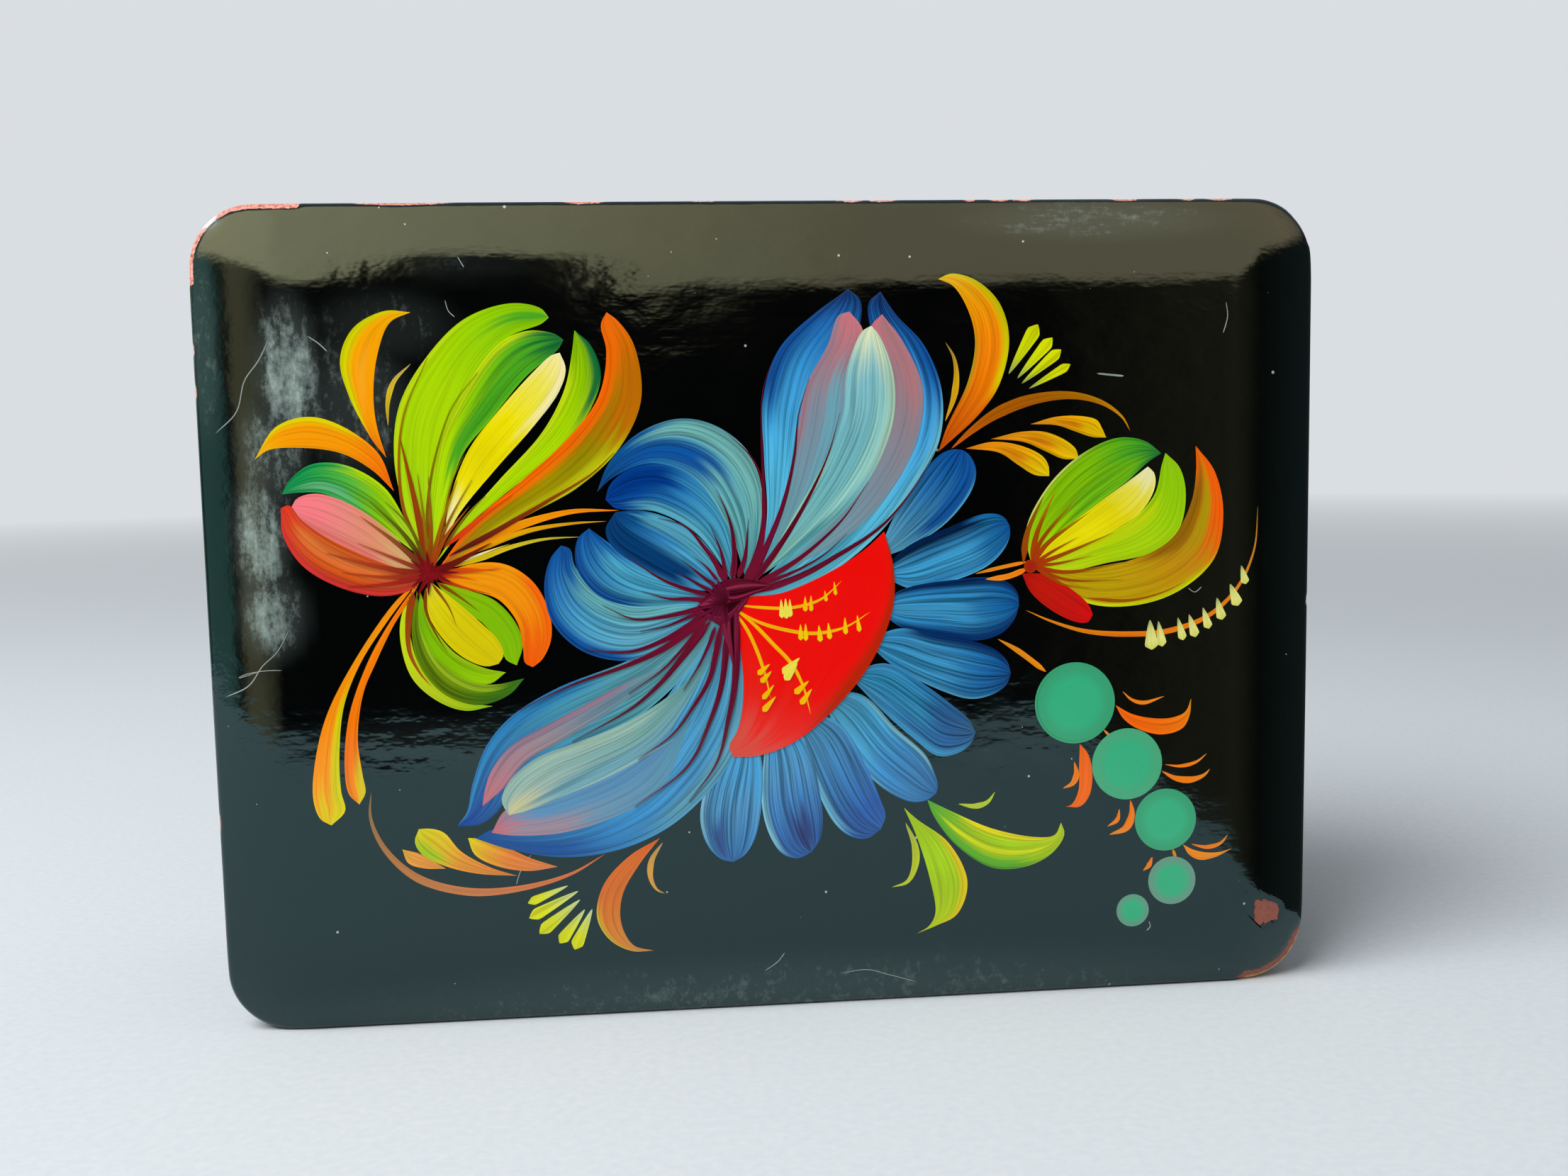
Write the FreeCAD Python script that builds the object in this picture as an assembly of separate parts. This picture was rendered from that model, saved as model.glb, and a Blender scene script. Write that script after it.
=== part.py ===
"""Lacquered papier-mache box with a hinged, pillow-shaped lid, standing on its long front wall.

X runs along the width, Y from the painted lid face (low Y) to the underside (high Y), and Z up,
from the front wall that it stands on to the hinged back wall on top. The origin is under the
middle of the box, on the surface that it stands on. Lengths are in millimetres.
"""

import FreeCAD, Part
import math
import os

from FreeCAD import Vector

# Overall size
WIDTH = 150.0
HEIGHT = 110.0
DEPTH = 50.0
CORNER_R = 8.0

# Lid face: flat in the middle, falling away in a band along every edge
EDGE_BAND = 12.0
EDGE_DROP = 2.4
CROWN = 0.4
FACE_STEPS_X = 39
FACE_STEPS_Z = 29
FACE_MARGIN = 2.0

# Walls and plates
LID_PANEL_THICK = 5.0
LID_DEPTH = 13.5
BOTTOM_THICK = 4.0
WALL = 4.0
COLLAR_WALL = 1.8
COLLAR_PROUD = 3.5
COLLAR_CLEARANCE = 0.35
COLLAR_EDGE_R = 0.6
SEAM_GAP = 0.1
SEAM_CHAMFER = 0.3
BOTTOM_EDGE_R = 1.5

# Hinges, two alike, let into the back wall along the seam
HINGE_X = 42.0
HINGE_LENGTH = 18.0
KNUCKLES = 3
KNUCKLE_GAP = 0.1
KNUCKLE_R = 1.3
GROOVE_CLEARANCE = 0.15
BORE_R = 0.65
PIN_R = 0.6
AXIS_DEPTH = 1.3
LEAF_REACH = 7.0
LEAF_THICK = 0.8
LEAF_CLEARANCE = 0.02
STOP_ANGLE = 105.0

# Nails that hold the leaves
NAIL_R = 0.5
NAIL_HEAD_R = 0.9
NAIL_HEAD_THICK = 0.3
NAIL_LENGTH = 3.0
NAIL_REACH = 4.6
NAIL_SPREAD = 11.0
NAIL_CLEARANCE = 0.02

# How far a cutting shape reaches past what it cuts, and how near counts as the same place
OVERCUT = 1.0
SAME_PLACE = 1e-3

# Places that follow from the sizes
FACE_Y = -DEPTH / 2
PANEL_BACK_Y = FACE_Y + LID_PANEL_THICK
SEAM_Y = FACE_Y + LID_DEPTH
UNDERSIDE_Y = DEPTH / 2
BOTTOM_Y = UNDERSIDE_Y - BOTTOM_THICK
AXIS_Z = HEIGHT - AXIS_DEPTH
ALONG_X = Vector(1, 0, 0)
DOWN = Vector(0, 0, -1)


def rounded_block(inset, y_front, y_back):
    """A plate or core with the box's rounded outline, moved in by inset on every side."""
    block = Part.makeBox(
        WIDTH - 2 * inset,
        y_back - y_front,
        HEIGHT - 2 * inset,
        Vector(inset - WIDTH / 2, y_front, inset),
    )
    upright = [e for e in block.Edges if abs(e.tangentAt(e.FirstParameter).y) > 0.99]
    return block.makeFillet(CORNER_R - inset, upright)


def ring(outer_inset, wall, y_front, y_back):
    """A wound wall: a closed rounded frame, open at both ends."""
    hole = rounded_block(outer_inset + wall, y_front - OVERCUT, y_back + OVERCUT)
    return rounded_block(outer_inset, y_front, y_back).cut(hole)


def edges_at(shape, y, outer):
    """The outline edges in the plane at y, on the outside or on the inside of a ring."""
    found = []
    for edge in shape.Edges:
        box = edge.BoundBox
        if abs(box.YMin - y) > SAME_PLACE or abs(box.YMax - y) > SAME_PLACE:
            continue
        middle = edge.valueAt((edge.FirstParameter + edge.LastParameter) / 2)
        reach_in = min(WIDTH / 2 - abs(middle.x), middle.z, HEIGHT - middle.z)
        if (reach_in < WALL - OVERCUT) == outer:
            found.append(edge)
    return found


def face_drop(x, z):
    """How far the painted face lies behind its middle at a point."""
    over_x = max(0.0, abs(x) - (WIDTH / 2 - EDGE_BAND)) / EDGE_BAND
    over_z = max(0.0, abs(z - HEIGHT / 2) - (HEIGHT / 2 - EDGE_BAND)) / EDGE_BAND
    crown = (x / (WIDTH / 2)) ** 2 + ((z - HEIGHT / 2) / (HEIGHT / 2)) ** 2
    return EDGE_DROP * (over_x**2 + over_z**2) + CROWN * crown / 2


def lid_panel():
    """The pressed top plate of the lid, with its pillow-shaped painted face."""
    half_x = WIDTH / 2 + FACE_MARGIN
    half_z = HEIGHT / 2 + FACE_MARGIN
    rows = []
    for i in range(FACE_STEPS_X):
        x = half_x * (2 * i / (FACE_STEPS_X - 1) - 1)
        row = []
        for k in range(FACE_STEPS_Z):
            z = HEIGHT / 2 + half_z * (2 * k / (FACE_STEPS_Z - 1) - 1)
            row.append(Vector(x, FACE_Y + face_drop(x, z), z))
        rows.append(row)
    surface = Part.BSplineSurface()
    surface.interpolate(rows)
    behind_face = surface.toShape().extrude(Vector(0, 2 * LID_PANEL_THICK, 0))
    return rounded_block(0, FACE_Y - OVERCUT, PANEL_BACK_Y).common(behind_face)


def stop_groove():
    """The V along the back of the seam. Its two sides meet when the lid stands fully open."""
    half = AXIS_DEPTH * math.tan(math.radians(STOP_ANGLE / 2))
    depth_share = (AXIS_DEPTH + OVERCUT) / AXIS_DEPTH
    x = -WIDTH / 2 - OVERCUT
    corners = [
        Vector(x, SEAM_Y, AXIS_Z),
        Vector(x, SEAM_Y - half * depth_share, HEIGHT + OVERCUT),
        Vector(x, SEAM_Y + half * depth_share, HEIGHT + OVERCUT),
    ]
    outline = Part.makePolygon(corners + corners[:1])
    return Part.Face(outline).extrude(Vector(WIDTH + 2 * OVERCUT, 0, 0))


def leaf_box(x, side, clearance):
    """The flat of a hinge leaf: side is -1 into the lid and +1 into the body."""
    low_y = SEAM_Y if side > 0 else SEAM_Y - LEAF_REACH
    grow = Vector(clearance, clearance, clearance)
    return Part.makeBox(
        HINGE_LENGTH + 2 * clearance,
        LEAF_REACH + 2 * clearance,
        LEAF_THICK + 2 * clearance,
        Vector(x - HINGE_LENGTH / 2, low_y, AXIS_Z - LEAF_THICK / 2) - grow,
    )


def nail_places(x, side):
    """Where the two nails of a leaf go in, on the outer face of the back wall."""
    y = SEAM_Y + side * NAIL_REACH
    return [Vector(x + s * NAIL_SPREAD / 2, y, HEIGHT) for s in (-1, 1)]


def nail(place, clearance=0.0):
    """A brass nail with a flush head, driven through the wall and the leaf."""
    shank = Part.makeCylinder(NAIL_R + clearance, NAIL_LENGTH + clearance, place, DOWN)
    head = Part.makeCylinder(NAIL_HEAD_R + clearance, NAIL_HEAD_THICK + clearance, place, DOWN)
    return shank.fuse(head)


def hinge_room(x, side):
    """What a hinge takes out of the frame on one side of the seam."""
    start = Vector(x - HINGE_LENGTH / 2 - GROOVE_CLEARANCE, SEAM_Y, AXIS_Z)
    length = HINGE_LENGTH + 2 * GROOVE_CLEARANCE
    room = Part.makeCylinder(KNUCKLE_R + GROOVE_CLEARANCE, length, start, ALONG_X)
    room = room.fuse(leaf_box(x, side, LEAF_CLEARANCE))
    for place in nail_places(x, side):
        room = room.fuse(nail(place, NAIL_CLEARANCE))
    return room


def let_in_hinges(frame, side):
    """A frame with the stop groove and the room for both hinges cut out of its back wall."""
    frame = frame.cut(stop_groove())
    for x in (-HINGE_X, HINGE_X):
        frame = frame.cut(hinge_room(x, side))
    return frame


def lid_frame():
    """The wound wall of the lid, glued behind the top plate."""
    back = SEAM_Y - SEAM_GAP / 2
    frame = ring(0, WALL, PANEL_BACK_Y, back)
    frame = frame.makeChamfer(SEAM_CHAMFER, edges_at(frame, back, outer=True))
    return let_in_hinges(frame, -1)


def body_frame():
    """The wound wall of the body, which the box stands on."""
    front = SEAM_Y + SEAM_GAP / 2
    frame = ring(0, WALL, front, BOTTOM_Y)
    frame = frame.makeChamfer(SEAM_CHAMFER, edges_at(frame, front, outer=True))
    return let_in_hinges(frame, 1)


def inner_collar():
    """The thin inner wall, standing proud of the body to guide the lid."""
    front = SEAM_Y - COLLAR_PROUD
    proud = ring(WALL + COLLAR_CLEARANCE, COLLAR_WALL - COLLAR_CLEARANCE, front, SEAM_Y)
    seated = ring(WALL, COLLAR_WALL, SEAM_Y, BOTTOM_Y)
    proud = proud.makeFillet(COLLAR_EDGE_R, edges_at(proud, front, outer=False))
    return seated.fuse(proud).removeSplitter()


def bottom_panel():
    """The plate that closes the body."""
    panel = rounded_block(0, BOTTOM_Y, UNDERSIDE_Y)
    return panel.makeFillet(BOTTOM_EDGE_R, edges_at(panel, UNDERSIDE_Y, outer=True))


def hinge_leaf(x, side):
    """One leaf with its knuckles: the body's leaf has the outer ones, the lid's the middle one."""
    pitch = HINGE_LENGTH / KNUCKLES
    flat = leaf_box(x, side, 0)
    whole = Part.makeCylinder(
        KNUCKLE_R + GROOVE_CLEARANCE, HINGE_LENGTH, Vector(x - HINGE_LENGTH / 2, SEAM_Y, AXIS_Z), ALONG_X
    )
    leaf = flat.cut(whole)
    for n in range(KNUCKLES):
        if (n % 2 == 0) != (side > 0):
            continue
        start = x - HINGE_LENGTH / 2 + n * pitch + KNUCKLE_GAP / 2
        length = pitch - KNUCKLE_GAP
        knuckle = Part.makeCylinder(KNUCKLE_R, length, Vector(start, SEAM_Y, AXIS_Z), ALONG_X)
        web_y = SEAM_Y if side > 0 else SEAM_Y - LEAF_REACH / 2
        web = Part.makeBox(
            length, LEAF_REACH / 2, LEAF_THICK, Vector(start, web_y, AXIS_Z - LEAF_THICK / 2)
        )
        leaf = leaf.fuse(knuckle).fuse(web)
    bore_start = Vector(x - HINGE_LENGTH / 2 - OVERCUT, SEAM_Y, AXIS_Z)
    leaf = leaf.cut(Part.makeCylinder(BORE_R, HINGE_LENGTH + 2 * OVERCUT, bore_start, ALONG_X))
    for place in nail_places(x, side):
        leaf = leaf.cut(nail(place, NAIL_CLEARANCE))
    return leaf.removeSplitter()


def hinge_pin(x):
    """The wire that the knuckles turn on."""
    return Part.makeCylinder(PIN_R, HINGE_LENGTH, Vector(x - HINGE_LENGTH / 2, SEAM_Y, AXIS_Z), ALONG_X)


def hinge_nails(side):
    """All four nails on one side of the seam."""
    return Part.makeCompound([nail(p) for x in (-HINGE_X, HINGE_X) for p in nail_places(x, side)])


def build():
    """Every piece of the box, by the name of its node."""
    pieces = {
        "lid_panel": lid_panel(),
        "lid_frame": lid_frame(),
        "body_frame": body_frame(),
        "inner_collar": inner_collar(),
        "bottom_panel": bottom_panel(),
        "lid_hinge_nails": hinge_nails(-1),
        "body_hinge_nails": hinge_nails(1),
    }
    for name, x in (("left", -HINGE_X), ("right", HINGE_X)):
        pieces[f"hinge_lid_leaf_{name}"] = hinge_leaf(x, -1)
        pieces[f"hinge_body_leaf_{name}"] = hinge_leaf(x, 1)
        pieces[f"hinge_pin_{name}"] = hinge_pin(x)
    return pieces


os.makedirs("parts", exist_ok=True)
for node, shape in build().items():
    shape.exportStep(f"parts/{node}.step")
    print(node, "valid" if shape.isValid() else "NOT VALID", f"{shape.Volume:.1f} mm3", len(shape.Solids))
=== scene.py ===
"""The looks of the lacquer box: black and red lacquer, wear, brass and the painted bouquet.

Places on the box are (x, z) in millimetres, as seen from the front of the painted lid. Blender's
own objects are in metres. The bouquet is built as a painter makes it, stroke by stroke: each stroke
is a thin closed skin of paint that lies on the lid's pillow-shaped face.
"""

import math

import bmesh
import bpy
import numpy as np
from mathutils import Matrix, Vector


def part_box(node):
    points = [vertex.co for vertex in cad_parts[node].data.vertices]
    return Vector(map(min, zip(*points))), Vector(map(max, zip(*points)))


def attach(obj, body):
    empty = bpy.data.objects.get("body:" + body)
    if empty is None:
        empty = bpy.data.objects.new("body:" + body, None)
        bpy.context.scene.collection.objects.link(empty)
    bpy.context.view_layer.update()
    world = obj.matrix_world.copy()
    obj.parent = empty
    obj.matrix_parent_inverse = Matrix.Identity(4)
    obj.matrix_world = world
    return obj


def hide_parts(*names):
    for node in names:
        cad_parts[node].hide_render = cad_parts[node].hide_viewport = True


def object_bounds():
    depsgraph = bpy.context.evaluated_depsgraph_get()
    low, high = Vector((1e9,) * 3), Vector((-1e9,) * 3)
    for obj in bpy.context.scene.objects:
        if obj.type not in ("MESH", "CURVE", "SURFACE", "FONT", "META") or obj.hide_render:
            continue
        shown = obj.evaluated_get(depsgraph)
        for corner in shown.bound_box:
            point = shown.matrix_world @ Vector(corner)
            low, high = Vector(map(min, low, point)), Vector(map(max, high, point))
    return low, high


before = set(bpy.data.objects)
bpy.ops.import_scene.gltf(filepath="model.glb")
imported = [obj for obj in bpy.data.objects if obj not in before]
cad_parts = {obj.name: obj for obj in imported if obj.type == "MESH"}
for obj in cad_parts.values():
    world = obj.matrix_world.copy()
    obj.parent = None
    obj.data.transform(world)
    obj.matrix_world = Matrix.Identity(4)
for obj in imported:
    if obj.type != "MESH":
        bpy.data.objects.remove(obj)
cad_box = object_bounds()

MM = 0.001
IN_MM = (1 / MM,) * 3

# The box, from the frame, in millimetres
HALF_WIDTH = cad_box[1].x / MM
HEIGHT = cad_box[1].z / MM
MID_Z = HEIGHT / 2
FACE_Y = cad_box[0].y / MM
PANEL_BACK_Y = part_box("lid_panel")[1].y / MM
FLOOR_PANEL_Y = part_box("bottom_panel")[0].y / MM
CORNER_R = 8.0

# The pillow shape of the lid's face
EDGE_BAND = 12.0
EDGE_DROP = 2.4
CROWN = 0.4
RIM_R = 0.7

# Paint skins: how deep each is rooted, how high each stands, and how finely each is meshed
SKIN_ROOT = 0.02
FIRST_LIFT = 0.02
LAYER_LIFT = 0.004
ROW_LENGTH = 0.6
FEWEST_ROWS = 24
COLUMN_WIDTH = 0.45
FEWEST_COLUMNS = 4
MOST_COLUMNS = 24
NO_WIDTH = 1e-6

# How unevenly a stroke's colours reach along it, and how soft a tint's ends are
RAGGED = 0.11
TINT_FADE = 0.16
# Where a dry stroke's paint begins to run out, and how far apart the strokes lie in the hairs' noise
DRY_FROM = 0.62
HAIRS_APART = 37.0

# The bouquet is drawn a little larger than it lies on the lid
BOUQUET_CENTRE = np.array([-6.0, 75.0])
BOUQUET_SCALE = np.array([0.985, 0.99])


# ---------------------------------------------------------------- colours


def linear(code):
    """A hex sRGB colour as linear red, green and blue."""
    parts = [int(code[i : i + 2], 16) / 255 for i in (0, 2, 4)]
    return [c / 12.92 if c <= 0.04045 else ((c + 0.055) / 1.055) ** 2.4 for c in parts]


def colour(code):
    """A hex sRGB colour as a socket takes it."""
    return (*linear(code), 1.0)


LIME = "b0de00"
SPRING = "c4e010"
LEAF = "84c000"
GREEN = "4caa20"
BOTTLE = "0f6a34"
EMERALD = "1c9a4c"
MOSS = "5c7a08"
YELLOW = "faea00"
GOLD = "e4bc00"
CREAM = "fff2b0"
ORANGE = "ff9c00"
FLAME = "ff6a00"
TANGERINE = "ff8400"
OLIVE = "9c8c00"
RED = "e23428"
RUST = "d4561a"
PINK = "ff8088"
SALMON = "ea9470"
STRAW = "d8b060"
BROWN = "8a3c06"
MAROON = "4c0818"
TEAL = "68a8b4"
AZURE = "2c80b8"
COBALT = "145096"
NAVY = "062c60"
MIDNIGHT = "041c40"
ROSE = "cc7078"
MINT = "a8ccb4"
SCARLET = "fc0600"
CORAL = "ec4a40"
SUNNY = "ffc400"
LEMON = "f8e850"
JADE = "38b884"
JADE_DARK = "3ca878"
SAGE = "6aa088"
AMBER = "e08a10"
LACQUER = "020203"


# ---------------------------------------------------------------- curves and the face


def smooth(points, count):
    """count evenly spaced points along a smooth curve through the given ones."""
    p = np.array(points, float)
    chords = np.linalg.norm(np.diff(p, axis=0), axis=1)
    t = np.concatenate([[0.0], np.cumsum(np.sqrt(chords))])
    slope = np.gradient(p, t, axis=0)
    fine = np.linspace(0, t[-1], 24 * len(p))
    i = np.clip(np.searchsorted(t, fine, side="right") - 1, 0, len(p) - 2)
    span = (t[i + 1] - t[i])[:, None]
    s = (fine - t[i])[:, None] / span
    line = (
        (2 * s**3 - 3 * s**2 + 1) * p[i]
        + (s**3 - 2 * s**2 + s) * span * slope[i]
        + (3 * s**2 - 2 * s**3) * p[i + 1]
        + (s**3 - s**2) * span * slope[i + 1]
    )
    along = np.concatenate([[0.0], np.cumsum(np.linalg.norm(np.diff(line, axis=0), axis=1))])
    even = np.linspace(0, along[-1], count)
    return np.stack([np.interp(even, along, line[:, k]) for k in (0, 1)], axis=1)


def length_of(line):
    return float(np.linalg.norm(np.diff(np.array(line, float), axis=0), axis=1).sum())


def rows_for(length):
    return max(FEWEST_ROWS, round(length / ROW_LENGTH))


def face_y(x, z):
    """How deep the painted face lies at points of it."""
    over_x = np.maximum(0, np.abs(x) - (HALF_WIDTH - EDGE_BAND)) / EDGE_BAND
    over_z = np.maximum(0, np.abs(z - MID_Z) - (MID_Z - EDGE_BAND)) / EDGE_BAND
    crown = (x / HALF_WIDTH) ** 2 + ((z - MID_Z) / MID_Z) ** 2
    return FACE_Y + EDGE_DROP * (over_x**2 + over_z**2) + CROWN * crown / 2


def ease(t):
    t = np.clip(t, 0, 1)
    return t * t * (3 - 2 * t)


# ---------------------------------------------------------------- meshes and objects


SHARP_FROM = math.radians(40)


def new_mesh(name, points, faces):
    mesh = bpy.data.meshes.new(name)
    mesh.from_pydata(points, [], faces)
    return mesh


def new_object(name, data):
    made = bpy.data.objects.new(name, data)
    bpy.context.scene.collection.objects.link(made)
    return made


def change_mesh(mesh, change):
    """Makes a change to a mesh in Blender's editable form."""
    shell = bmesh.new()
    shell.from_mesh(mesh)
    change(shell)
    shell.to_mesh(mesh)
    shell.free()


def face_outward(shell):
    bmesh.ops.recalc_face_normals(shell, faces=shell.faces)


def keep_sharp(shell):
    """Keeps the sharp edges crisp on a smooth piece."""
    for edge in shell.edges:
        if len(edge.link_faces) == 2 and edge.calc_face_angle(0) > SHARP_FROM:
            edge.smooth = False


def add_point_values(mesh, **layers):
    for title, values in layers.items():
        layer = mesh.attributes.new(title, "FLOAT", "POINT")
        layer.data.foreach_set("value", np.array(values, np.float32))


# ---------------------------------------------------------------- brush strokes


class Stroke:
    """One brush stroke: two edges of equally many points, and the paint on it."""

    def __init__(self, left, right, colours, tints, hairs, dry):
        self.left = left
        self.right = right
        self.colours = np.array([linear(c) for c in colours])
        self.tints = tints
        self.hairs = hairs
        self.dry = dry

    def paint_at(self, u, v):
        """The paint's colour at u along the stroke and v across it, both from 0 to 1."""
        stops = np.linspace(0, 1, len(self.colours))
        shade = np.stack([np.interp(u, stops, self.colours[:, k]) for k in range(3)], axis=-1)
        for tint, centre, reach, start, end in self.tints:
            amount = ease(1.4 * (1 - np.abs(v - centre) / reach))
            if start > 0:
                amount = amount * ease((u - start) / TINT_FADE + 0.5)
            if end < 1:
                amount = amount * ease((end - u) / TINT_FADE + 0.5)
            shade = shade + (np.array(linear(tint)) - shade) * amount[..., None]
        return shade


def petal(root, left, right, tip, colours, tints=(), hairs=0.35, dry=0.0):
    """A filled petal, between its left and its right edge as they run from root to tip.

    Its colours run from root to tip. Each tint is a colour, its centre and reach across the petal,
    and where it starts and ends along the petal. hairs is how strongly the brush's hairs show, and
    dry is how far the paint runs out at the tip.
    """
    left = [root, *left, tip]
    right = [root, *right, tip]
    rows = rows_for(max(length_of(left), length_of(right)))
    return Stroke(smooth(left, rows), smooth(right, rows), colours, tints, hairs, dry)


def line(points, width, colours, rise=0.35, fall=0.6, hairs=0.2, taper=0.8):
    """A drawn line that swells over its first share, rise, and thins over its last, fall."""
    rows = rows_for(length_of(points))
    spine = smooth(points, rows)
    u = np.linspace(0, 1, rows)
    swell = np.minimum(1, u / rise) ** 0.7 * np.minimum(1, (1 - u) / fall) ** taper
    half = (width * swell / 2)[:, None]
    ahead = np.gradient(spine, axis=0)
    ahead /= np.linalg.norm(ahead, axis=1)[:, None]
    aside = np.stack([-ahead[:, 1], ahead[:, 0]], axis=1)
    return Stroke(spine + half * aside, spine - half * aside, colours, (), hairs, 0.0)


def drop(thin_end, blunt_end, width, colours, hairs=0.25):
    """A pressed dab of the brush: a thin tail that fills out to a round end."""
    return line([thin_end, blunt_end], width, colours, rise=0.8, fall=0.14, hairs=hairs)


def berry(centre, radius, colours):
    """A round dab, turned on the spot: its colours run from the middle to the rim."""
    turn = np.linspace(0, 2 * math.pi, max(28, round(radius * 14)))
    rim = np.array(centre) + radius * np.stack([np.cos(turn), np.sin(turn)], axis=1)
    middle = np.repeat(np.array([centre], float), len(turn), axis=0)
    rings = [(colours[1], 1.0, 0.45, 0.0, 1.0)]
    return Stroke(middle, rim, [colours[0], colours[0]], rings, 0.03, 0.0)


def off_from(centre, reach, degrees):
    """The point that lies reach away from a centre, in a direction."""
    turn = math.radians(degrees)
    return (centre[0] + reach * math.cos(turn), centre[1] + reach * math.sin(turn))


class Skins:
    """Collects the skins of many strokes as one mesh."""

    def __init__(self):
        self.points = []
        self.faces = []
        self.colours = []
        self.hairs = []
        self.cover = []
        self.flow = []

    def add(self, stroke, lift, seed):
        """Adds one stroke as a closed skin that stands lift above the face."""
        rows = len(stroke.left)
        gap = np.linalg.norm(stroke.left - stroke.right, axis=1)
        columns = int(np.clip(round(gap.max() / COLUMN_WIDTH), FEWEST_COLUMNS, MOST_COLUMNS))
        v = np.linspace(0, 1, columns + 1)
        u_grid, v_grid = np.meshgrid(np.linspace(0, 1, rows), v, indexing="ij")
        flat = stroke.left[:, None] * (1 - v)[None, :, None] + stroke.right[:, None] * v[None, :, None]
        flat = BOUQUET_CENTRE + BOUQUET_SCALE * (flat - BOUQUET_CENTRE)
        lag = RAGGED * (np.random.default_rng(seed).random(columns + 1) - 0.5)
        shade = stroke.paint_at(np.clip(u_grid + lag, 0, 1), v_grid)
        cover = 1 - stroke.dry * ease((u_grid - DRY_FROM) / (1 - DRY_FROM))
        run = length_of((stroke.left + stroke.right) / 2)
        flow = np.stack([u_grid * run, v_grid * max(gap.max(), 0.4) + HAIRS_APART * seed], axis=-1)

        def point(i, j, height):
            return self._point(flat[i, j], height, shade[i, j], stroke.hairs, cover[i, j], flow[i, j])

        top = np.empty((rows, columns + 1), int)
        low = np.empty((rows, 2), int)
        for i in range(rows):
            closed = gap[i] < NO_WIDTH
            for j in range(columns + 1):
                top[i, j] = top[i, 0] if j and closed else point(i, j, lift)
            low[i, 0] = point(i, 0, -SKIN_ROOT)
            low[i, 1] = low[i, 0] if closed else point(i, columns, -SKIN_ROOT)
        for i in range(rows - 1):
            for j in range(columns):
                self._face(top[i, j], top[i, j + 1], top[i + 1, j + 1], top[i + 1, j])
            self._face(top[i, 0], top[i + 1, 0], low[i + 1, 0], low[i, 0])
            self._face(top[i, -1], low[i, 1], low[i + 1, 1], top[i + 1, -1])
            self._face(low[i, 0], low[i + 1, 0], low[i + 1, 1], low[i, 1])
        for i in (0, rows - 1):
            if gap[i] >= NO_WIDTH:
                self._face(*top[i], low[i, 1], low[i, 0])

    def _point(self, at, lift, shade, hairs, cover, flow):
        depth = float(face_y(at[0], at[1])) - lift
        self.points.append((at[0] * MM, depth * MM, at[1] * MM))
        self.colours.append((*shade, 1.0))
        self.hairs.append(hairs)
        self.cover.append(cover)
        self.flow.append(flow)
        return len(self.points) - 1

    def _face(self, *corners):
        ring = list(dict.fromkeys(int(corner) for corner in corners))
        if len(ring) > 2:
            self.faces.append(ring)

    def mesh(self, name):
        mesh = new_mesh(name, self.points, self.faces)
        change_mesh(mesh, face_outward)
        paint = mesh.attributes.new("paint", "FLOAT_COLOR", "POINT")
        paint.data.foreach_set("color", np.array(self.colours, np.float32).ravel())
        add_point_values(mesh, hairs=self.hairs, cover=self.cover)
        corner_points = np.empty(len(mesh.loops), np.int32)
        mesh.loops.foreach_get("vertex_index", corner_points)
        flow = mesh.uv_layers.new(name="flow")
        flow.data.foreach_set("uv", np.array(self.flow, np.float32)[corner_points].ravel())
        return mesh


def paint(name, strokes, base_lift=FIRST_LIFT):
    """Lays strokes on the lid in their order, as one painted motif."""
    skins = Skins()
    for order, stroke in enumerate(strokes):
        skins.add(stroke, base_lift + LAYER_LIFT * order, seed=order + len(name))
    motif = new_object(name, skins.mesh(name))
    motif.data.materials.append(PAINT)
    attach(motif, "lid")


# ---------------------------------------------------------------- materials


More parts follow.
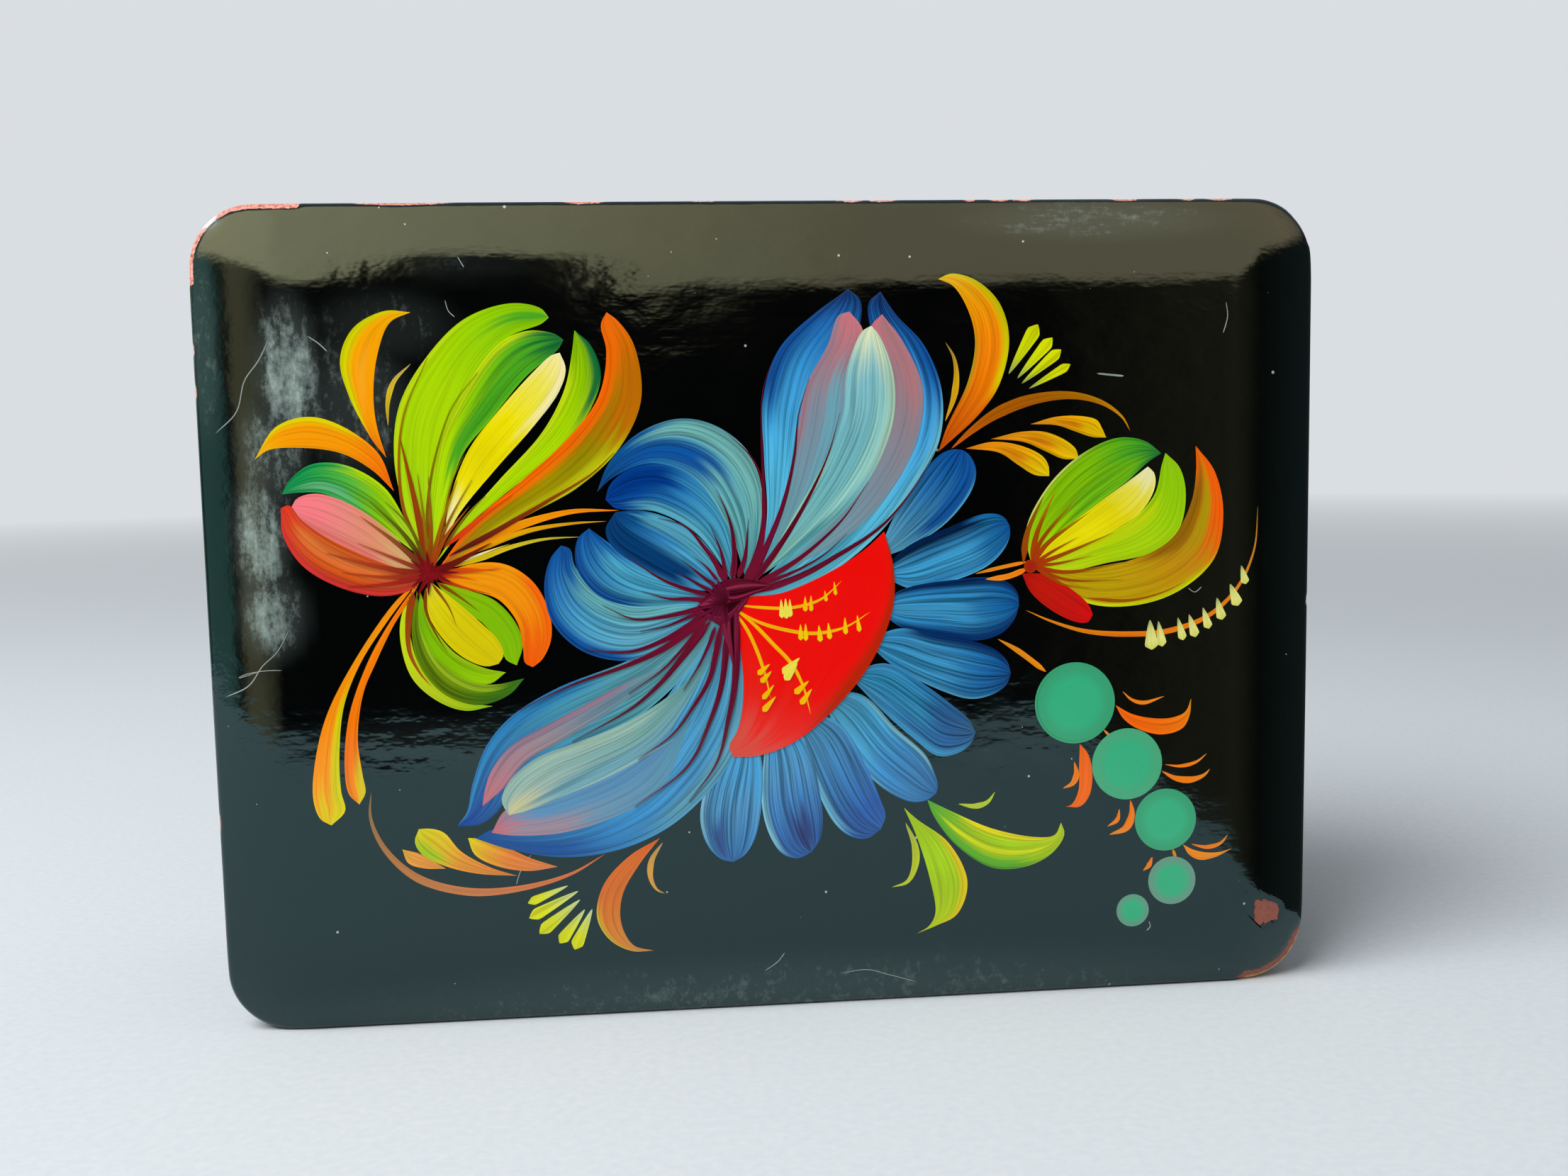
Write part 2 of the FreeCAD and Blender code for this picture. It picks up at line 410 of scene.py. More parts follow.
class Graph:
    """A few short words for building the nodes of a material or of the world."""

    def __init__(self, owner):
        owner.use_nodes = True
        self.owner = owner
        self.tree = owner.node_tree

    def node(self, kind, inputs=None, **settings):
        made = self.tree.nodes.new("ShaderNode" + kind)
        for key, value in settings.items():
            setattr(made, key, value)
        for key, value in (inputs or {}).items():
            self.feed(made.inputs[key], value)
        return made

    def feed(self, socket, value):
        if isinstance(value, bpy.types.NodeSocket):
            self.tree.links.new(value, socket)
        else:
            socket.default_value = value

    def math(self, operation, a, b=0.0, clamp=False):
        return self.node("Math", {0: a, 1: b}, operation=operation, use_clamp=clamp).outputs[0]

    def plus(self, a, b, clamp=False):
        return self.math("ADD", a, b, clamp)

    def minus(self, a, b):
        return self.math("SUBTRACT", a, b)

    def times(self, a, b):
        return self.math("MULTIPLY", a, b)

    def mix(self, factor, a, b):
        made = self.tree.nodes.new("ShaderNodeMix")
        made.data_type = "RGBA"
        self.feed(made.inputs["Factor"], factor)
        self.feed(made.inputs["A"], a)
        self.feed(made.inputs["B"], b)
        return made.outputs["Result"]

    def noise(self, vector, scale, detail=3.0, roughness=0.5):
        inputs = {"Vector": vector, "Scale": scale, "Detail": detail, "Roughness": roughness}
        return self.node("TexNoise", inputs).outputs["Fac"]

    def span(self, value, low, high, out_low=0.0, out_high=1.0):
        """A value from low to high, moved to run from out_low to out_high and held between them."""
        inputs = {"Value": value, "From Min": low, "From Max": high, "To Min": out_low, "To Max": out_high}
        return self.node("MapRange", inputs, clamp=True).outputs["Result"]

    def attribute(self, name, output="Fac"):
        return self.node("Attribute", attribute_name=name).outputs[output]

    def split(self, vector):
        return self.node("SeparateXYZ", {0: vector}).outputs

    def scaled(self, vector, factors):
        return self.node("VectorMath", {0: vector, 1: factors}, operation="MULTIPLY").outputs[0]

    def place(self):
        """The point on the box, in millimetres."""
        return self.scaled(self.node("TexCoord").outputs["Object"], IN_MM)

    def bump(self, height, distance, strength=1.0, under=None):
        inputs = {"Height": height, "Distance": distance, "Strength": strength}
        if under is not None:
            inputs["Normal"] = under
        return self.node("Bump", inputs).outputs["Normal"]

    def ramp(self, value, stops):
        made = self.node("ValToRGB", {"Fac": value})
        elements = made.color_ramp.elements
        while len(elements) < len(stops):
            elements.new(1.0)
        for element, (position, tint) in zip(elements, stops):
            element.position = position
            element.color = (*tint, 1.0)
        return made.outputs["Color"]

    def finish(self, **sockets):
        """Feeds the shader's sockets, named with _ for a space, and gives the material."""
        shader = self.tree.nodes["Principled BSDF"]
        for key, value in sockets.items():
            self.feed(shader.inputs[key.replace("_", " ")], value)
        return self.owner


def outline_inset(g, parts):
    """How far a point lies inside the box's rounded outline, in millimetres."""
    over_x = g.minus(g.math("ABSOLUTE", parts["X"]), HALF_WIDTH - CORNER_R)
    over_z = g.minus(g.math("ABSOLUTE", g.minus(parts["Z"], MID_Z)), MID_Z - CORNER_R)
    out_x = g.math("MAXIMUM", over_x, 0.0)
    out_z = g.math("MAXIMUM", over_z, 0.0)
    round_part = g.math("SQRT", g.plus(g.times(out_x, out_x), g.times(out_z, out_z)))
    inner_part = g.math("MINIMUM", g.math("MAXIMUM", over_x, over_z), 0.0)
    return g.minus(CORNER_R, g.plus(round_part, inner_part))


# The lacquer's own cool gloss
VARNISH_TINT = (0.58, 0.96, 1.0, 1.0)
# How deep the face's wear reaches round its edge, and where the red inside begins behind the face,
# ends at the floor panel, and begins inside the outline
FACE_DEPTH = 3.2
RED_FROM = 3.5
RED_PAST_FLOOR = 0.5
RED_INSET = 3.9
# Above this height the lid was wiped across, below it up and down
WIPED_ACROSS_FROM = 97.0
# How far through the lacquer a chip bares the primer, and the board
PRIMER_BARED = 0.48
BOARD_BARED = 1.01


def red_inside(g, place, parts, inset):
    """Where the vermilion lies, and its colour."""
    inner_front = g.span(parts["Y"], FACE_Y + RED_FROM - 0.1, FACE_Y + RED_FROM + 0.1)
    floor = FLOOR_PANEL_Y + RED_PAST_FLOOR
    inner_back = g.span(parts["Y"], floor - 0.1, floor + 0.1, 1.0, 0.0)
    brushed_edge = g.plus(inset, g.times(g.noise(place, 0.6), 0.3))
    edge = g.span(brushed_edge, RED_INSET - 0.05, RED_INSET + 0.05)
    drift = g.span(g.noise(place, 0.08, 4.0), 0.3, 0.7)
    return g.times(edge, g.times(inner_front, inner_back)), g.mix(drift, colour("9c1c0c"), colour("c23418"))


def mist(g, place, parts, haze):
    """The streaky pale film where the face is hazy: partly a film that wiping leaves, partly painted
    reflections of the bright room.
    """
    wiped_down = g.noise(g.scaled(place, (0.5, 1.0, 0.16)), 1.0, 8.0, 0.72)
    wiped_across = g.noise(g.scaled(place, (0.14, 1.0, 0.7)), 1.0, 8.0, 0.72)
    near_top = g.span(parts["Z"], WIPED_ACROSS_FROM, WIPED_ACROSS_FROM + 3.0)
    wiped = g.plus(wiped_down, g.times(near_top, g.minus(wiped_across, wiped_down)))
    torn = g.noise(g.scaled(place, (1.1, 1.0, 0.9)), 1.0, 6.0, 0.75)
    clouds = g.plus(g.times(wiped, 0.6), g.times(torn, 0.4))
    misted = g.span(g.plus(clouds, g.times(haze, 0.2)), 0.58, 0.8)
    return g.times(misted, g.span(haze, 0.0, 0.8))


def dust_specks(g, place):
    specks = g.node("TexVoronoi", {"Vector": place, "Scale": 0.32, "Randomness": 1.0}).outputs
    size = g.times(g.span(g.split(specks["Color"])["X"], 0.5, 1.0), 0.08)
    return g.span(g.minus(size, specks["Distance"]), 0.0, 0.012)


def chips(g, place, parts, inset, haze, on_face):
    """Where the lacquer has gone, and the primer or board that shows there. The bared primer is painted
    lighter high on the lid and darker low down, as lit from above, and whitish where the haze and
    reflection marks are strongest, which is a painted highlight.
    """
    ragged = g.plus(g.times(g.noise(place, 1.4, 5.0, 0.7), 0.9), -0.45)
    chip = g.plus(g.attribute("chip"), ragged)
    wear = g.span(inset, 0.0, 0.45, 1.0, 0.0)
    seam = g.span(g.noise(place, 0.12, 3.0, 0.6), 0.6, 0.66)
    rubbed = g.times(g.plus(g.times(wear, g.times(seam, 0.9)), ragged), on_face)
    bared = (PRIMER_BARED - 0.02, PRIMER_BARED + 0.02)
    open_chip = g.math("MAXIMUM", g.span(chip, *bared), g.span(rubbed, *bared))
    # Painted light: the bared primer is lighter high on the lid, where light falls from above, and darker
    # low down
    primer_lit_from_above = g.mix(g.span(parts["Z"], 20.0, 95.0), colour("9c5644"), colour("ffb0a0"))
    primer = g.mix(g.span(g.noise(place, 2.2, 4.0), 0.35, 0.7), primer_lit_from_above, colour("8c4434"))
    deep_chip = g.span(chip, BOARD_BARED - 0.03, BOARD_BARED + 0.03)
    primer = g.mix(deep_chip, primer, colour("c89c5c"))
    # Painted highlight: the bared primer turns whitish where the haze and reflection marks are strongest
    return open_chip, g.mix(g.span(haze, 0.7, 0.95), primer, colour("f6eef4"))


def lacquer_material():
    """Black oil lacquer outside, vermilion inside, with haze and painted reflections, dust, chips and
    polish marks.
    """
    g = Graph(bpy.data.materials.new("oil_lacquer"))
    place = g.place()
    parts = g.split(place)
    inset = outline_inset(g, parts)
    haze = g.attribute("haze")
    on_face = g.span(parts["Y"], FACE_Y + FACE_DEPTH - 0.2, FACE_Y + FACE_DEPTH + 0.2, 1.0, 0.0)

    inside, red = red_inside(g, place, parts, inset)
    misted = mist(g, place, parts, haze)
    # Pale haze, mixed in below as a pale blue grey: partly a wiped film, partly painted reflections of the
    # bright room and a painted highlight
    film_and_reflection = g.plus(g.times(misted, 0.62), g.times(haze, 0.1), clamp=True)
    speck = dust_specks(g, place)
    open_chip, primer = chips(g, place, parts, inset, haze, on_face)
    base = g.mix(inside, colour("020202"), red)
    base = g.mix(film_and_reflection, base, colour("b2c6bf"))
    base = g.mix(g.times(speck, 0.75), base, colour("c8d0cc"))
    base = g.mix(open_chip, base, primer)

    shine = g.span(g.noise(place, 0.06, 5.0, 0.6), 0.3, 0.75, 0.045, 0.13)
    for cause, dulled in ((misted, 0.22), (open_chip, 0.6), (inside, 0.16)):
        shine = g.plus(shine, g.times(cause, dulled))

    waves = g.noise(place, 0.07, 2.0)
    ripples = g.noise(g.scaled(place, (0.16, 1.0, 0.3)), 1.0, 3.0, 0.55)
    brushing = g.noise(g.scaled(place, (0.05, 1.0, 1.2)), 1.0, 3.0)
    even = g.span(on_face, 0.0, 1.0, 0.15, 1.0)
    normal = g.bump(waves, 0.12 * MM, even)
    normal = g.bump(ripples, 0.06 * MM, even, normal)
    normal = g.bump(brushing, 0.006 * MM, even, normal)
    normal = g.bump(g.minus(1.0, open_chip), 0.18 * MM, under=normal)
    normal = g.bump(speck, 0.06 * MM, under=normal)
    return g.finish(
        Base_Color=base, Roughness=shine, Specular_IOR_Level=0.8, Specular_Tint=VARNISH_TINT, Normal=normal
    )


def paint_material():
    """Oil paint under the clear lacquer: each stroke's own colour, streaked by the brush's hairs."""
    g = Graph(bpy.data.materials.new("oil_paint"))
    flow = g.node("UVMap", uv_map="flow").outputs["UV"]
    coarse = g.noise(g.scaled(flow, (0.04, 1.4, 0.0)), 1.0, 3.0, 0.6)
    fine = g.noise(g.scaled(flow, (0.06, 3.2, 0.0)), 1.0, 2.0, 0.5)
    streak = g.plus(g.times(coarse, 0.45), g.times(fine, 0.55))
    hairs = g.attribute("hairs")
    laid = g.attribute("paint", "Color")

    dark = g.node("HueSaturation", {"Saturation": 1.1, "Value": 0.35, "Color": laid}).outputs["Color"]
    gain = g.span(hairs, 0.2, 0.7, 1.15, 1.6)
    light = g.node("HueSaturation", {"Saturation": 1.03, "Value": gain, "Color": laid}).outputs["Color"]
    tone = g.mix(g.times(g.span(streak, 0.5, 0.41), hairs), laid, dark)
    tone = g.mix(g.times(g.span(streak, 0.5, 0.6), hairs), tone, light)
    wet = g.span(g.plus(g.attribute("cover"), g.times(g.minus(streak, 0.5), 1.6)), 0.25, 0.75)
    tone = g.mix(wet, colour(LACQUER), tone)

    shine = g.span(g.noise(g.place(), 0.06, 5.0, 0.6), 0.3, 0.75, 0.09, 0.2)
    normal = g.bump(streak, 0.03 * MM, 0.6)
    return g.finish(Base_Color=tone, Roughness=shine, Specular_IOR_Level=0.35, Normal=normal)


def brass_material():
    """Old brass: dull yellow with patches of darker tarnish and a few rubbed lines."""
    g = Graph(bpy.data.materials.new("old_brass"))
    place = g.place()
    tarnish = g.span(g.noise(place, 0.9, 5.0, 0.65), 0.38, 0.68)
    base = g.mix(tarnish, colour("c9a24c"), colour("6e5222"))
    rubbed = g.noise(g.scaled(place, (0.4, 6.0, 6.0)), 1.0, 3.0)
    shine = g.plus(g.span(tarnish, 0.0, 1.0, 0.24, 0.5), g.times(rubbed, 0.1))
    return g.finish(Base_Color=base, Roughness=shine, Metallic=1.0, Normal=g.bump(rubbed, 0.02 * MM))


BACKDROP = (0.70, 0.73, 0.76)
FLOOR_FADE = (450.0, 1700.0)


def floor_material():
    """Plain pale paper that fades into the backdrop far from the box."""
    g = Graph(bpy.data.materials.new("pale_paper"))
    place = g.place()
    base = g.mix(g.span(g.noise(place, 0.8, 5.0), 0.3, 0.7), colour("d3dde3"), colour("dbe3e8"))
    away = g.node("VectorMath", {0: place}, operation="LENGTH").outputs["Value"]
    fade = g.span(away, *FLOOR_FADE)
    base = g.mix(fade, base, colour("000000"))
    glow = g.mix(fade, colour("000000"), (*BACKDROP, 1.0))
    return g.finish(
        Base_Color=base, Roughness=0.75, Specular_IOR_Level=0.0, Emission_Color=glow, Emission_Strength=1.0
    )


LACQUER_COAT = lacquer_material()
PAINT = paint_material()
BRASS = brass_material()
PAPER = floor_material()


# ---------------------------------------------------------------- the lid's face and its wear


# The face's rings: insets from the outline, then shares of the innermost of those
INSETS = (0, 0.12, 0.25, 0.4, 0.6, 0.85, 1.15, 1.5, 1.9, 2.4, 3, 3.7, 4.5, 5.4, 6.4, 7.5, 8.8, 10.2, 12)
SHRINKS = (0.975, 0.95, 0.925, 0.9, 0.875, 0.85, 0.82, 0.79, 0.75, 0.7, 0.65, 0.56, 0.42, 0.28, 0.14)
RING_SPACING = 0.7
SMALLEST_CORNER = 1.5

# Chips in the lacquer: centre x and z, half length in x and z, and how deep it goes
CHIPS = (
    (-47.6, 110.1, 10.4, 0.8, 0.85), (-24.2, 110.1, 4.4, 0.75, 0.85), (11.2, 110.1, 2.4, 0.7, 0.85),
    (15.4, 110.1, 3.2, 0.7, 0.85), (27.2, 110.1, 1.4, 0.7, 0.85), (31.2, 110.1, 2.2, 0.7, 0.85),
    (34.6, 110.1, 2.0, 0.7, 0.85), (48.6, 110.1, 3.4, 0.75, 0.85), (57.3, 110.1, 2.0, 0.7, 0.85),
    (61.8, 110.1, 3.0, 0.7, 0.85), (71.4, 109.4, 1.6, 0.8, 0.9), (-75, 91.4, 0.6, 1.4, 0.9),
    (-75, 86.0, 0.6, 1.6, 0.9), (-75, 29.0, 0.6, 2.0, 0.8), (74.9, 54.5, 0.6, 1.0, 0.8),
    (-69.9, 4.4, 0.7, 0.4, 0.9),
)
FACE_CHIP = ((66.9, 12.5), (68.9, 12.3), (70.8, 11.3), (70.7, 9.3), (69.3, 9.0), (68.1, 8.3), (66.6, 9.4))
# Worn corners: the x and z from which each runs out to the corner
WORN_TOP_LEFT = (-60.5, 99.8)
WORN_TOP_RIGHT = (72, 104)
WORN_LOW_RIGHT = (64.5, 8.5)
CHIP_DEPTH = 0.22

# Hazy places on the face, partly a wiped film and partly painted reflections of the bright room, with a
# painted highlight at the top left corner: centre x and z, half width and half height, strength
HAZES_AND_REFLECTIONS = (
    (-62.5, 88, 5.5, 13, 1.0), (-65, 78, 6.0, 10, 0.65), (-67, 67, 5.0, 12, 0.85), (-66, 57, 6.0, 8, 0.75),
    (-54, 84, 9.0, 12, 0.5), (-50, 94, 12.0, 6, 0.25), (-73.5, 92, 3.0, 16, 0.4),
    (-73.2, 108.6, 4.2, 3.6, 1.0), (-40, 101.5, 12.0, 2.5, 0.12), (44, 107.0, 24.0, 3.6, 0.42),
    (0, 1, 80.0, 9.0, 0.34), (-45, 39, 30.0, 5.0, 0.12), (32, 37, 16.0, 5.0, 0.16),
)


def rounded_ring(inset, count):
    """Points round the box's outline, moved in by inset, starting at the lower left corner."""
    radius = max(CORNER_R - inset, SMALLEST_CORNER)
    half_x = HALF_WIDTH - inset - radius
    half_z = MID_Z - inset - radius
    arc = math.pi * CORNER_R / 2
    share = [2 * (HALF_WIDTH - CORNER_R), arc, 2 * (MID_Z - CORNER_R), arc]
    counts = [max(8, round(count * s / (2 * sum(share)))) for s in share] * 2
    points = []
    here = np.array([-half_x, -half_z - radius])
    for side, (sx, sz, turn) in enumerate(((1, -1, -90), (1, 1, 0), (-1, 1, 90), (-1, -1, 180))):
        centre = np.array([sx * half_x, sz * half_z])
        first = np.array(off_from(centre, radius, turn))
        n_side, n_arc = counts[2 * side : 2 * side + 2]
        points += [here + (first - here) * k / n_side for k in range(n_side)]
        points += [np.array(off_from(centre, radius, turn + 90 * k / n_arc)) for k in range(n_arc)]
        here = np.array(off_from(centre, radius, turn + 90))
    return np.array(points) + np.array([0, MID_Z])


def ring_inset(x, z):
    """How far points lie inside the outline."""
    over_x = np.abs(x) - (HALF_WIDTH - CORNER_R)
    over_z = np.abs(z - MID_Z) - (MID_Z - CORNER_R)
    outer = np.hypot(np.maximum(over_x, 0), np.maximum(over_z, 0))
    return CORNER_R - outer - np.minimum(np.maximum(over_x, over_z), 0)


def distance_inside(polygon, x, z):
    """Distance from points to a polygon's edge, positive inside."""
    nearest = np.full(x.shape, np.inf)
    inside = np.zeros(x.shape, bool)
    for (ax, az), (bx, bz) in zip(polygon, polygon[1:] + polygon[:1]):
        run, rise = bx - ax, bz - az
        along = np.clip(((x - ax) * run + (z - az) * rise) / (run**2 + rise**2), 0, 1)
        nearest = np.minimum(nearest, np.hypot(x - ax - along * run, z - az - along * rise))
        inside ^= ((az > z) != (bz > z)) & (x < run * (z - az) / rise + ax)
    return np.where(inside, nearest, -nearest)


def chip_at(x, z):
    """How far through the lacquer the wear goes: 0 is whole, 0.5 bares the primer."""
    depth = np.zeros(x.shape)
    for cx, cz, rx, rz, strength in CHIPS:
        near = 1 - np.hypot((x - cx) / rx, (z - cz) / rz)
        depth = np.maximum(depth, strength * np.clip(1.5 * near, 0, 1))
    inset = ring_inset(x, z)
    top_left = (x < WORN_TOP_LEFT[0]) & (z > WORN_TOP_LEFT[1])
    top_right = (x > WORN_TOP_RIGHT[0]) & (z > WORN_TOP_RIGHT[1])
    low_right = ease((x - WORN_LOW_RIGHT[0]) / 2) * ease((WORN_LOW_RIGHT[1] - z) / 2)
    for corner, worn in (
        (top_left, np.clip(1.5 - 1.35 * inset, 0, 0.9)),
        (low_right, np.clip(1.3 - 0.55 * inset, 0, 1.15)),
        (top_right, np.clip(0.9 - 1.2 * inset, 0, 0.8)),
    ):
        depth = np.maximum(depth, corner * worn)
    return np.maximum(depth, np.clip(0.5 + 0.9 * distance_inside(FACE_CHIP, x, z), 0, 0.85))


# How strong the haze and painted reflection is at points of the face
def haze_at(x, z):
    total = np.zeros(x.shape)
    for cx, cz, rx, rz, strength in HAZES_AND_REFLECTIONS:
        far = np.hypot((x - cx) / rx, (z - cz) / rz)
        total = np.maximum(total, strength * ease(1.4 * (1 - far)))
    return total


def lid_face():
    """The lid's top plate with its worn rim, finely meshed so that its reflections run smoothly."""
    around = 2 * (2 * HALF_WIDTH + HEIGHT) / RING_SPACING
    rings = [rounded_ring(inset, around) for inset in INSETS]
    middle = np.array([0, MID_Z])
    rings += [middle + s * (rings[-1] - middle) for s in SHRINKS]
    flat = np.concatenate(rings + [middle[None]])
    x, z = flat[:, 0], flat[:, 1]
    chip = chip_at(x, z)
    rim = np.clip(RIM_R - ring_inset(x, z), 0, RIM_R)
    rounding = RIM_R - np.sqrt(RIM_R**2 - rim**2)
    y = face_y(x, z) + rounding + CHIP_DEPTH * ease((chip - 0.35) / 0.3)
    count = len(rings[0])
    back = np.column_stack([rings[0][:, 0], np.full(count, PANEL_BACK_Y), rings[0][:, 1]])
    points = np.concatenate([np.column_stack([x, y, z]), back]) * MM
    centre = len(flat) - 1
    first_back = len(flat)
    last = (len(rings) - 1) * count
    faces = []
    for start in range(0, last, count):
        for k in range(count):
            a = start + k
            b = start + (k + 1) % count
            faces.append((a, b, b + count, a + count))
    for k in range(count):
        after = (k + 1) % count
        faces.append((last + k, last + after, centre))
        faces.append((k, first_back + k, first_back + after, after))
    faces.append([first_back + k for k in range(count)])
    mesh = new_mesh("lid_painted_panel", [tuple(p) for p in points], faces)
    change_mesh(mesh, face_outward)
    bare = np.zeros(count)
    add_point_values(mesh, chip=[*chip, *bare], haze=[*haze_at(x, z), *bare])
    mesh.shade_smooth()
    change_mesh(mesh, keep_sharp)
    mesh.materials.append(LACQUER_COAT)
    panel = new_object("lid_painted_panel", mesh)
    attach(panel, "lid")
    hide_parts("lid_panel")


# ---------------------------------------------------------------- the bouquet


def left_tulip():
    root = (-45.8, 62.5)
    return [
        petal(
            root,
            [(-49, 70), (-50.2, 77), (-49.2, 84), (-45.3, 90.3), (-40.3, 95), (-34.3, 96.9), (-30.4, 96.2)],
            [(-44, 70), (-42.5, 79), (-39, 88), (-34.6, 92.6), (-30.4, 94.2)], (-29.4, 95),
            [SPRING, LIME, LIME, LIME, "98d400", LEAF],
            [(SPRING, 0, 0.12, 0.1, 0.75), (GREEN, 0.5, 0.3, 0.86, 1)], 0.22,
        ),
        petal(
            root, [(-45.6, 70), (-44, 79), (-41, 85.3), (-36.2, 91.6), (-32.3, 93.3), (-28.8, 92.9)],
            [(-44.3, 68.7), (-41.3, 77.3), (-37.3, 82), (-32.7, 87.3), (-28.2, 91)], (-27.6, 92.1),
            [SPRING, LIME, LIME, "84c808", GREEN, BOTTLE],
            [(SPRING, 0, 0.25, 0.35, 0.88), (GREEN, 0.75, 0.4, 0.35, 0.9), (BOTTLE, 0.4, 0.8, 0.9, 1)], 0.4,
        ),
        petal(
            (-44.2, 65.8), [(-43.3, 71), (-40.6, 77.7), (-36, 83.4), (-31.3, 88.3), (-29.2, 90.1)],
            [(-42, 69.6), (-36.7, 75.7), (-32, 80.7), (-28.4, 85.3), (-27.4, 88.3)], (-28.1, 90.4),
            [CREAM, YELLOW, "eedc00", YELLOW, "f8ea50", CREAM],
            [(CREAM, 1, 0.3, 0.62, 1), (CREAM, 0.3, 0.3, 0, 0.18)], 0.2,
        ),
        petal(
            root, [(-42, 68), (-36.7, 73.8), (-30.8, 80), (-27.7, 85.5), (-26.5, 90.5)],
            [(-42, 67), (-36, 72), (-29, 77.3), (-24.3, 83), (-22.8, 87.5), (-24, 91.3)], (-26.1, 93.3),
            [SPRING, LIME, LIME, LIME, "9cd000", LEAF],
            [(SPRING, 0.05, 0.25, 0.2, 0.9), (BOTTLE, 1, 0.5, 0.74, 1)], 0.35,
        ),
        petal(
            (-45.3, 62),
            [(-40.3, 68.3), (-33.7, 73.7), (-27.3, 79.3), (-23.2, 84.6), (-22, 90.5), (-22.6, 94)],
            [(-38.7, 66), (-32.7, 69.3), (-26.3, 72.7), (-20.7, 77.7), (-17.6, 84), (-18.3, 91.2),
             (-20.3, 94.4)], (-21.8, 95.6), [RUST, OLIVE, "a49400", OLIVE, "b07c00", FLAME],
            [(FLAME, 0, 0.42, 0, 1), ("c8cc10", 1, 0.4, 0.1, 0.62), ("f46c00", 0.5, 0.9, 0.84, 1),
             ("c06c00", 0.75, 0.5, 0.62, 0.9)], 0.32,
        ),
        petal(
            (-46.3, 63), [(-49, 68.7), (-51.7, 73.3), (-56.7, 76.3), (-61, 76.4), (-63.8, 74.4)],
            [(-49.3, 65.6), (-54.7, 69.7), (-59.3, 72.5), (-62.3, 72.8)], (-64.9, 72.6),
            [SPRING, "b0d820", LEAF, "50b440", EMERALD, "18884c"],
            [(LIME, 0, 0.3, 0, 0.65), ("60b478", 0.75, 0.2, 0.6, 0.9)], 0.5,
        ),
        petal(
            (-46.8, 61.6), [(-50.2, 66.3), (-55.3, 70.6), (-60.3, 72.6), (-63, 72)],
            [(-51.3, 62.8), (-57.7, 65.8), (-62, 68.4)], (-63.8, 70.7),
            [STRAW, "dcae74", SALMON, "f08c80", PINK, PINK], [("e87870", 1, 0.3, 0.3, 0.9)], 0.22,
        ),
        petal(
            (-46.8, 61.3), [(-53, 63.6), (-59, 66.6), (-62.6, 69.3), (-64, 71.2)],
            [(-48.8, 59.6), (-52.7, 58.9), (-58, 60.2), (-62.7, 63.2), (-65, 67.3)], (-65.1, 70.8),
            ["a83020", "c8502a", RUST, RUST, "e04c28", RED],
            [("d83830", 1, 0.32, 0, 1), ("e47434", 0.35, 0.3, 0.2, 0.8)], 0.4,
        ),
    ]


